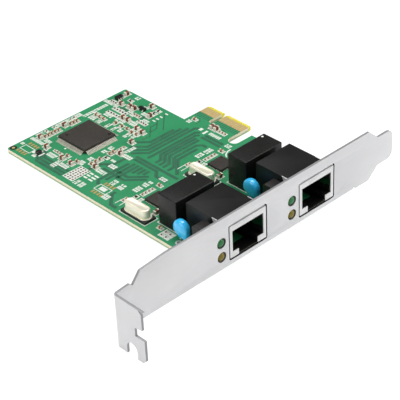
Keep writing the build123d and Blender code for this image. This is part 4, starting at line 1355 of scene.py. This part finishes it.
@dataclass
class SolderLands:
    """Tinned lands under the small parts, and the bare ones of the empty footprints.

    Args:
        reach: how far a land shows past its part.
        side: how much wider than its part a land is, on each side.
        share: share of the part's length that each land takes.
        bare: half the length and width of a bare land.
        mark: place of the alignment mark.
        mark_radii: radii of the mark and of the clear ring round it.
        hole: place of the plated hole.
        hole_radii: radii of the hole and of its land.
    """

    reach: float = 0.28
    side: float = 0.08
    share: float = 0.32
    bare: Point = (0.34, 0.72)
    mark: Triple = (-37.4, -64.7, 0.0)
    mark_radii: Point = (0.55, 1.3)
    hole: Triple = (43.4, -63.6, 0.0)
    hole_radii: Point = (0.6, 1.15)

    def part_lands(self) -> np.ndarray:
        """Two lands for each small part, at the ends of its longer side."""
        boxes = np.concatenate([solids_in(node) for node in WhitePrint.framed])
        low, high = boxes[:, 0, :2], boxes[:, 1, :2]
        size = high - low
        along_x = (size[:, 0] > size[:, 1])[:, None]
        grow = np.where(along_x, (self.reach, self.side), (self.side, self.reach))
        keep = np.where(along_x, (self.share, 1.0), (1.0, self.share)) * size
        wider = np.where(along_x, (0, self.side), (self.side, 0))
        near = np.hstack([low - grow, low + keep + wider])
        far = np.hstack([high - keep - wider, high + grow])
        return np.vstack([near, far])

    def footprint_lands(self) -> np.ndarray:
        """Two rows of four bare lands for each empty footprint."""
        rows = [(x, y) for x in (-35.3, -33.95, -32.6, -31.3) for y in (-59.1, -64.4)]
        rows += [(x, y) for x in (2.3, 3.6, 5.0, 6.3) for y in (-57.6, -63.2)]
        return np.hstack([np.array(rows) - self.bare, np.array(rows) + self.bare])

    def build(self) -> None:
        """Builds the lands, the alignment mark and the plated hole's ring."""
        high, under = Layer.PAD.value, -Layer.PAD.value
        finished("tinned_lands", slabs(self.part_lands(), under, high), Finishes.pad)
        finished("bare_lands", slabs(self.footprint_lands(), under, high), Finishes.bare_pad)
        mark, clear = self.mark_radii
        finished("mark_clearance", disc(self.mark, clear, under, Layer.COPPER.value, 28), Finishes.base)
        finished("alignment_mark", disc(self.mark, mark, under, high, 20), Finishes.gold)
        hole, land = self.hole_radii
        finished("plated_hole_land", disc(self.hole, land, under, high, 28), Finishes.pad)
        # The hole itself is a flat spot of painted shade.
        finished("plated_hole", disc(self.hole, hole, under, high + Layer.HOLE.value, 24), Finishes.slot)


@dataclass
class ChipParts:
    """Chip capacitors and resistors: a ceramic or glazed body between two plated ends.

    Args:
        cap: share of the length that each plated end takes.
        proud: how far the ends stand out past the body.
        hidden: how far the body runs on inside each end.
        corner: radius of the edges.
        body_corner: radius of the body's upright edges.
    """

    cap: float = 0.22
    proud: float = 0.02
    hidden: float = 0.01
    corner: float = 0.06
    body_corner: float = 0.02

    sets = {
        "large_capacitors": Finishes.brown,
        "middle_capacitors": Finishes.tan,
        "small_capacitors": Finishes.tan,
        "middle_resistors": Finishes.black,
        "small_resistors": Finishes.black,
    }

    def build(self) -> None:
        """Builds a piece of bodies and a piece of ends for each set."""
        for node, finish in self.sets.items():
            boxes = solids_in(node)
            size = boxes[:, 1] - boxes[:, 0]
            length, width, height = size[0, :2].max(), size[0, :2].min(), size[0, 2]
            turns = np.where(size[:, 0] > size[:, 1], Turn.ALONG_X.value, Turn.ALONG_Y.value) * math.pi / 2
            places = boxes.mean(axis=1) * (1, 1, 0)
            cap = self.cap * length
            middle = (length - 2 * (cap - self.hidden), width - 2 * self.proud, height - self.proud)
            body = block(middle, self.body_corner, self.corner, steps=2)
            end = block((cap, width, height), self.corner, self.corner, steps=2)
            pair = end.repeated([((length - cap) / 2, 0, 0), ((cap - length) / 2, 0, 0)])
            finished(f"{node}_bodies", body.repeated(places, turns), finish, node)
            finished(f"{node}_ends", pair.repeated(places, turns), Finishes.end)


@dataclass
class BridgeChip:
    """The large flat package with leads on four sides.

    Args:
        corner: radius of its upright edges.
        edge: radius of its upper edges.
        draft: how far its sides lean in.
        mark: outer radius, inner radius and height of a round mark.
        marks_in: distances of the two marks from their corners of the top.
        lead: thickness of a lead.
        bend: how far a lead's bends are eased.
        foot: length of a lead's foot.
        shoulder: length of a lead's straight root.
        rooted: how far the root lies inside the body.
    """

    corner: float = 0.15
    edge: float = 0.06
    draft: float = 0.12
    mark: Triple = (0.55, 0.4, 0.006)
    marks_in: Point = (1.6, 2.2)
    lead: float = 0.15
    bend: float = 0.12
    foot: float = 0.7
    shoulder: float = 0.3
    rooted: float = 0.1

    def package(self) -> None:
        """Builds the body, with a shallow round mark in two corners of its top."""
        box = node_box("bridge_chip_body")
        upper = block(box.size * (1, 1, 0.5), self.corner, self.edge, self.draft)
        lower = Shape(upper.points * (1, 1, -1), upper.faces)
        body = joined([upper, lower]).repeated([box.middle])
        finished("bridge_package", body, Finishes.epoxy, "bridge_chip_body")
        near, far = self.marks_in
        spots = [box.high - (near, near, 0.0), (box.low[0] + far, box.low[1] + far, box.high[2])]
        finished("bridge_mould_marks", dimple(*self.mark, 24).repeated(spots), Finishes.module)

    def leads(self) -> None:
        """Builds every lead as a strip along root, shoulder, slope and foot, turned to its side."""
        boxes = solids_in("bridge_chip_leads")
        body = node_box("bridge_chip_body")
        away = boxes.mean(axis=1) - body.middle
        along_x = np.abs(away[:, 0]) > np.abs(away[:, 1])
        turns = np.where(along_x, np.where(away[:, 0] > 0, 0, 2), np.where(away[:, 1] > 0, 1, 3)) * math.pi / 2
        size = (boxes[0, 1] - boxes[0, 0])[:2]
        half, root = size.min() / 2, body.size[0] / 2
        tip, top, foot = root + size.max(), boxes[0, 1, 2] - self.lead / 2, self.lead / 2
        knee = [(root - self.rooted, top), (root + self.shoulder, top), (tip - self.foot, foot), (tip, foot)]
        outline = strip_outline(eased_path(knee, self.bend), self.lead)
        lead = loft(np.stack([np.insert(outline, 1, y, axis=1) for y in (-half, half)]))
        spots = np.where(along_x[:, None], away * (0, 1, 0), away * (1, 0, 0)) + body.foot
        finished("bridge_leads", lead.repeated(spots, turns), Finishes.lead, "bridge_chip_leads")

    def build(self) -> None:
        """Builds the package and its leads."""
        self.package()
        self.leads()


@dataclass
class Controllers:
    """The two leadless controller chips, with the ends of their pads.

    Args:
        corner: radius of their upright edges.
        edge: radius of their upper edges.
        draft: how far their sides lean in.
        pitch: pad pitch.
        count: pads on each side.
        pad: showing length, width and height of a pad.
        sunk: how far a pad reaches into the body.
        pad_corner: radius of a pad's upright edges.
        pad_edge: radius of its upper edges.
        mark: outer radius, inner radius and height of the round mark.
        mark_in: distance of the mark from two sides.
    """

    corner: float = 0.05
    edge: float = 0.04
    draft: float = 0.02
    pitch: float = 0.65
    count: int = 8
    pad: Triple = (0.32, 0.32, 0.24)
    sunk: float = 0.02
    pad_corner: float = 0.04
    pad_edge: float = 0.1
    mark: Triple = (0.28, 0.18, 0.005)
    mark_in: float = 0.9

    def build(self) -> None:
        """Builds both chips."""
        for number in (1, 2):
            node = f"controller_chip_{number}"
            box = node_box(node)
            body = block(box.size, self.corner, self.edge, self.draft).repeated([box.foot])
            finished(f"controller_body_{number}", body, Finishes.epoxy, node)
            run = (np.arange(self.count) - (self.count - 1) / 2) * self.pitch
            out = np.full(self.count, (box.size[0] + self.pad[0]) / 2 - self.sunk)
            pad = block(self.pad, self.pad_corner, self.pad_edge, steps=2)
            row = pad.repeated(np.column_stack([out, run, 0 * run]))
            pads = row.repeated(np.tile(box.foot, (4, 1)), np.arange(4) * math.pi / 2)
            finished(f"controller_pads_{number}", pads, Finishes.pad)
            spot = (box.low[0] + self.mark_in, box.high[1] - self.mark_in, box.high[2])
            mark = dimple(*self.mark, 16).repeated([spot])
            finished(f"controller_mark_{number}", mark, Finishes.module)


@dataclass
class Crystals:
    """The two crystals: a drawn can with a rolled flange, on a moulded base.

    Args:
        rim: width of the flange.
        rim_height: its height.
        foot_round: height and inset of the rounding at its foot.
        seam_round: depth and inset of the rounding at its top.
        edge: radius of the can's upper edge.
        crown: how far the lid's middle panel lies below its edge.
        step: insets, from the upper edge, between which the lid falls to that panel.
        edge_points: points over the upper edge.
        end_points: points round each end.
        base_edge: radius of the base's edges.
    """

    rim: float = 0.4
    rim_height: float = 0.35
    foot_round: Point = (0.06, 0.05)
    seam_round: Point = (0.08, 0.1)
    edge: float = 0.5
    crown: float = 0.06
    step: Point = (0.25, 0.35)
    edge_points: int = 6
    end_points: int = 16
    base_edge: float = 0.08

    def levels(self, foot: float, top: float) -> list[Point]:
        """Heights and insets up the can: flange, wall, rounded shoulder, and the panel pressed into the lid.

        Args:
            foot: height of its foot.
            top: height of its lid.

        Returns:
            Pairs of height and inset.
        """
        seam, inner = foot + self.rim_height, self.rim + self.edge
        (low, low_in), (high, high_in) = self.foot_round, self.seam_round
        flange = [(foot, low_in), (foot + low, 0.0), (seam - high, 0.0), (seam, high_in), (seam, self.rim)]
        shoulder = [
            (top - self.edge * (1 - math.sin(a)), inner - self.edge * math.cos(a))
            for a in np.linspace(0, math.pi / 2, self.edge_points)
        ]
        return flange + shoulder + [(top, inner + self.step[0]), (top - self.crown, inner + self.step[1])]

    def build(self) -> None:
        """Builds both crystals."""
        for number in (1, 2):
            node = f"crystal_can_{number}"
            box = node_box(node)
            can = stadium(box.size[0], box.size[1], self.levels(box.low[2], box.high[2]), self.end_points)
            finished(f"crystal_shell_{number}", can.repeated([box.foot]), Finishes.can, node, smooth=ROUND_ANGLE)
            eased(f"crystal_seat_{number}", f"crystal_base_{number}", Finishes.base, self.base_edge)


@dataclass
class DiscCapacitors:
    """The two dipped disc capacitors, each a lens whose coating runs down to its leads.

    Args:
        power: how square the coating's join of disc and skirt is.
        fullness: exponent of the lens's section, lower for flatter faces.
        taper: exponent of how its rings close towards the two faces.
        skirt: how far the skirt reaches from the middle, to the bracket's side and to the other.
        slim: how much thinner the skirt is than the disc.
        rays: points round the disc.
        rings: rings across it.
        averaged: over how many rays the corners of the skirt are averaged, an odd number.
        smooth: angle in radians under which its faces shade as one.
    """

    power: float = 9.0
    fullness: float = 0.62
    taper: float = 0.8
    skirt: Point = (3.05, 1.0)
    slim: float = 0.42
    rays: int = 72
    rings: int = 30
    averaged: int = 7
    smooth: float = 1.2

    def outline(self, radius: float, down: float) -> tuple[np.ndarray, np.ndarray]:
        """Outline of disc and skirt, R(a) = (disc^p + skirt(a)^p)^(1/p).

        There skirt(a) is how far a ray at angle a runs inside the skirt's rectangle, averaged over some rays.
        R stays inside the width of the disc and above the foot of the skirt.

        Args:
            radius: radius of the disc.
            down: distance from its middle to the foot of the skirt.

        Returns:
            Angles of the rays, and how far each reaches.
        """
        a = np.linspace(0, 2 * math.pi, self.rays, endpoint=False)
        cos, sin = np.cos(a), np.sin(a)
        near, far = self.skirt
        across = np.where(cos > 0, near / np.maximum(cos, 1e-3), far / np.maximum(-cos, 1e-3))
        skirt = np.where(sin < -0.05, np.minimum(across, down / np.maximum(-sin, 0.05)), 0.1)
        wrap = self.averaged // 2
        skirt = np.concatenate([skirt[-wrap:], skirt, skirt[:wrap]])
        skirt = np.convolve(skirt, np.ones(self.averaged) / self.averaged, "valid")
        reach = (radius**self.power + skirt**self.power) ** (1 / self.power)
        reach = np.minimum(reach, np.where(sin < -0.2, down / np.maximum(-sin, 0.2), radius))
        return a, np.minimum(reach, np.where(np.abs(cos) > 0.2, radius / np.maximum(np.abs(cos), 0.2), np.inf))

    def lens(self, box: Box) -> Shape:
        """One capacitor.

        Across the disc, a point at v lies sin(pi v)^taper of its ray's reach from the middle, and
        cos(pi v)^fullness of half the thickness to one side. Below the disc it is thinner.

        Args:
            box: the space that it fills.

        Returns:
            A closed shape.
        """
        radius, thick = box.size[0] / 2, box.size[1]
        middle = (box.middle[0], box.middle[1], box.high[2] - radius)
        a, reach = self.outline(radius, box.size[2] - radius)
        v = np.linspace(0.015, 0.985, self.rings)[:, None] * math.pi
        ring = np.sin(v) ** self.taper * reach
        thin = 1 - self.slim * np.clip(-np.sin(a) - 0.35, 0, 1) * np.sin(v)
        y = thick / 2 * np.sign(np.cos(v)) * np.abs(np.cos(v)) ** self.fullness * thin
        return loft(np.stack([ring * np.cos(a), y, ring * np.sin(a)], axis=-1) + middle)

    def build(self) -> None:
        """Builds both capacitors and dresses their leads."""
        for number in (1, 2):
            node = f"disc_capacitor_{number}"
            finished(f"disc_dip_{number}", self.lens(node_box(node)), Finishes.blue, node, smooth=self.smooth)
        dressed(Finishes.lead, "disc_leads")


@dataclass
class Modules:
    """The two potted transformer modules, each with a white spot at its first pin.

    Args:
        corner: radius of its upright edges.
        edge: radius of its upper edges.
        draft: how far its sides lean in.
        spot: radius of the white spot.
        spot_top: height of its upper side over the module.
        spot_in: distance of the spot from the two sides.
    """

    corner: float = 0.35
    edge: float = 0.3
    draft: float = 0.05
    spot: float = 0.42
    spot_top: float = 0.004
    spot_in: Point = (1.2, 1.95)

    def build(self) -> None:
        """Builds both modules."""
        for number in (1, 2):
            node = f"transformer_module_{number}"
            box = node_box(node)
            body = block(box.size, self.corner, self.edge, self.draft, steps=4).repeated([box.foot])
            finished(f"module_body_{number}", body, Finishes.module, node)
            place = (box.low[0] + self.spot_in[0], box.high[1] - self.spot_in[1], box.high[2])
            spot = disc(place, self.spot, -SUNK, self.spot_top, 20)
            finished(f"module_spot_{number}", spot, Finishes.ink)


@dataclass
class Jacks:
    """The two jacks: moulded housing, tin shield and gold spring wires.

    Args:
        mould_radius: radius of the moulding's edges.
        sheet_radius: radius of the shield's edges.
    """

    mould_radius: float = 0.1
    sheet_radius: float = 0.05

    def build(self) -> None:
        """Builds both jacks."""
        for number in (1, 2):
            eased(f"jack_moulding_{number}", f"jack_housing_{number}", Finishes.jack, self.mould_radius)
            eased(f"jack_front_{number}", f"jack_shield_{number}", Finishes.tin, self.sheet_radius)
            dressed(Finishes.wire, f"jack_contacts_{number}")


@dataclass
class Lights:
    """The light holders and their four round lenses.

    Args:
        dome: height of the lens's dome.
        closed: share of a quarter circle that the dome runs through, before it closes flat.
        edge: radius of the holder's edges.
        rings: points over the dome.
        sides: points round the lens.
    """

    dome: float = 0.8
    closed: float = 0.97
    edge: float = 0.15
    rings: int = 8
    sides: int = 36

    def lens(self, box: Box) -> Shape:
        """A lens along +X: a short barrel, and a dome whose radius falls as cos t while it rises as sin t.

        Args:
            box: the space that it fills.

        Returns:
            A closed shape.
        """
        radius, barrel = box.size[2] / 2, box.size[0] - self.dome
        profile = [(radius, 0.0), (radius, barrel)]
        for t in np.linspace(0, math.pi / 2 * self.closed, self.rings)[1:]:
            profile.append((radius * math.cos(t), barrel + self.dome * math.sin(t)))
        origin = (box.low[0], box.middle[1], box.middle[2])
        return lathe(profile, self.sides).carried(origin, [(0, 1, 0), (0, 0, 1), (1, 0, 0)])

    def build(self) -> None:
        """Builds both holders and all lenses."""
        for number in (1, 2):
            eased(f"light_block_{number}", f"light_holder_{number}", Finishes.holder, self.edge)
            for colour, finish in (("green", Finishes.green), ("yellow", Finishes.yellow)):
                node = f"light_{colour}_{number}"
                lens = self.lens(node_box(node))
                finished(f"lens_{colour}_{number}", lens, finish, node, smooth=ROUND_ANGLE)


@dataclass
class SmallOutlines:
    """The regulator, the transistor and the diode.

    Args:
        edge: radius of their moulded edges.
    """

    edge: float = 0.06

    def build(self) -> None:
        """Builds the three parts."""
        for stem in ("regulator", "transistor"):
            eased(f"{stem}_moulding", f"{stem}_body", Finishes.module, self.edge)
            dressed(Finishes.lead, f"{stem}_leads")
        eased("diode_moulding", "diode_body", Finishes.black, self.edge)
        dressed(Finishes.lead, "diode_tabs")


@dataclass
class SolderSide:
    """Solder joints on the back of the board, each a hollow-sided cone round the end of a lead.

    Args:
        tip: radius of the cone's end.
        sides: sides of a cone.
        rings: rings over its height.
    """

    tip: float = 0.26
    sides: int = 12
    rings: int = 6

    def build(self) -> None:
        """Builds every joint: its radius falls from the foot to the tip as the square of the height left."""
        boxes = solids_in("solder_joints")
        width, _, height = boxes[0, 1] - boxes[0, 0]
        left = 1 - np.linspace(0, 1, self.rings)
        radii = self.tip + (width / 2 - self.tip) * left**2
        joint = lathe(np.column_stack([radii, height * (left - 1)]), self.sides)
        places = boxes.mean(axis=1) + (0, 0, height / 2)
        finished("solder_cones", joint.repeated(places), Finishes.solder, "solder_joints")


# Studio


@dataclass
class Studio:
    """Camera at the photograph's angle, a pale floor, a white surround and soft lights.

    Args:
        eye: place of the camera.
        right: direction of the picture's right.
        down: direction of the picture's foot.
        look: viewing direction.
        lens: focal length.
        sensor: width of the sensor.
        clip: nearest and farthest distance that the camera shows, in metres.
        floor_gap: distance of the floor below the card.
        floor_reach: half the floor's width, in metres.
        floor_tone: how pale the floor is.
        floor_light: strength of the floor where it is seen.
        floor_share: how much of that light shows, the rest being the floor's own tone and shadow.
        ambient: strength of the surround's light.
        aim: the point that the lamps face.
        lamps: name, place, side and power in watts of each lamp.
    """

    eye: Triple = (324.59, -309.87, 272.0)
    right: Triple = (0.6919, 0.7210, -0.0386)
    down: Triple = (0.3866, -0.4150, -0.8236)
    look: Triple = (-0.6098, 0.5549, -0.5659)
    lens: float = 135.71
    sensor: float = 36.0
    clip: Point = (0.01, 20.0)
    floor_gap: float = 0.1
    floor_reach: float = 4.0
    floor_tone: float = 0.92
    floor_light: float = 1.2
    floor_share: float = 0.8
    ambient: float = 0.17
    aim: Triple = (15.0, -40.0, 5.0)
    lamps: tuple[tuple[str, Triple, float, float], ...] = (
        ("overhead_box", (-60.0, 60.0, 520.0), 420.0, 2.4),
        ("front_box", (380.0, 330.0, 200.0), 360.0, 1.5),
        ("side_box", (-40.0, -480.0, 240.0), 360.0, 1.1),
    )

    def camera(self) -> None:
        """Sets up the camera."""
        data = bpy.data.cameras.new("card_camera")
        data.lens, data.sensor_width = self.lens, self.sensor
        data.clip_start, data.clip_end = self.clip
        camera = added("card_camera", data)
        axes = Matrix([self.right, [-d for d in self.down], [-k for k in self.look]]).transposed()
        camera.matrix_world = Matrix.Translation(Vector(self.eye) * MM) @ axes.to_4x4()
        bpy.context.scene.camera = camera

    def floor(self) -> None:
        """Lays a pale floor under the card, which keeps a soft shadow."""
        low, high = CAD_BOX
        x, y, z = (low.x + high.x) / 2, (low.y + high.y) / 2, low.z - self.floor_gap * MM
        r = self.floor_reach
        mesh = bpy.data.meshes.new("studio_floor")
        corners = [(x - r, y - r, z), (x + r, y - r, z), (x + r, y + r, z), (x - r, y + r, z)]
        mesh.from_pydata(corners, [], [(0, 1, 2, 3)])
        material = bpy.data.materials.new("floor_white")
        wiring = Wiring.afresh(material)
        tone = (self.floor_tone, self.floor_tone, self.floor_tone, 1)
        diffuse = wiring.add("ShaderNodeBsdfDiffuse", {"Color": tone})
        lit = wiring.add("ShaderNodeEmission", {"Color": (1, 1, 1, 1), "Strength": self.floor_light})
        rays = wiring.add("ShaderNodeLightPath").outputs
        seen = wiring.arithmetic("MAXIMUM", rays["Is Camera Ray"], rays["Is Glossy Ray"])
        share = wiring.arithmetic("MULTIPLY", seen, self.floor_share)
        mixed = wiring.add("ShaderNodeMixShader", {0: share, 1: diffuse.outputs[0], 2: lit.outputs[0]})
        wiring.add("ShaderNodeOutputMaterial", {0: mixed.outputs[0]})
        mesh.materials.append(material)
        added("studio_floor", mesh)

    def surround(self) -> None:
        """Makes the world white where it is seen or seen through, and soft grey where it lights."""
        world = bpy.data.worlds.new("studio_surround")
        bpy.context.scene.world = world
        wiring = Wiring.afresh(world)
        rays = wiring.add("ShaderNodeLightPath").outputs
        seen = wiring.arithmetic("MAXIMUM", rays["Is Camera Ray"], rays["Is Transmission Ray"])
        strength = wiring.add("ShaderNodeMapRange", {0: seen, 3: self.ambient, 4: 1.0})
        sky = wiring.add("ShaderNodeBackground", {"Color": (1, 1, 1, 1), "Strength": strength.outputs[0]})
        wiring.add("ShaderNodeOutputWorld", {0: sky.outputs[0]})

    def hang_lamps(self) -> None:
        """Hangs the soft lamps, each a square that faces the card."""
        for name, place, side, power in self.lamps:
            data = bpy.data.lights.new(name, "AREA")
            data.size, data.energy = side * MM, power
            lamp = added(name, data)
            lamp.location = Vector(place) * MM
            lamp.rotation_euler = (Vector(self.aim) - Vector(place)).to_track_quat("-Z", "Y").to_euler()

    def build(self) -> None:
        """Sets up the whole studio, with colours shown as they are."""
        bpy.context.scene.view_settings.view_transform = "Standard"
        self.camera()
        self.floor()
        self.surround()
        self.hang_lamps()


def main() -> None:
    """Builds every sub-assembly in order, then the studio."""
    logging.basicConfig(level=logging.INFO, format="%(name)s %(message)s")
    for part in (
        Copper(), WhitePrint(), SolderLands(), ChipParts(), BridgeChip(), Controllers(), Crystals(),
        DiscCapacitors(), Modules(), Jacks(), Lights(), SmallOutlines(), SolderSide(), SlotBracket(), Studio(),
    ):
        LOG.info("building %s", type(part).__name__)
        part.build()


if __name__ == "__main__":
    main()
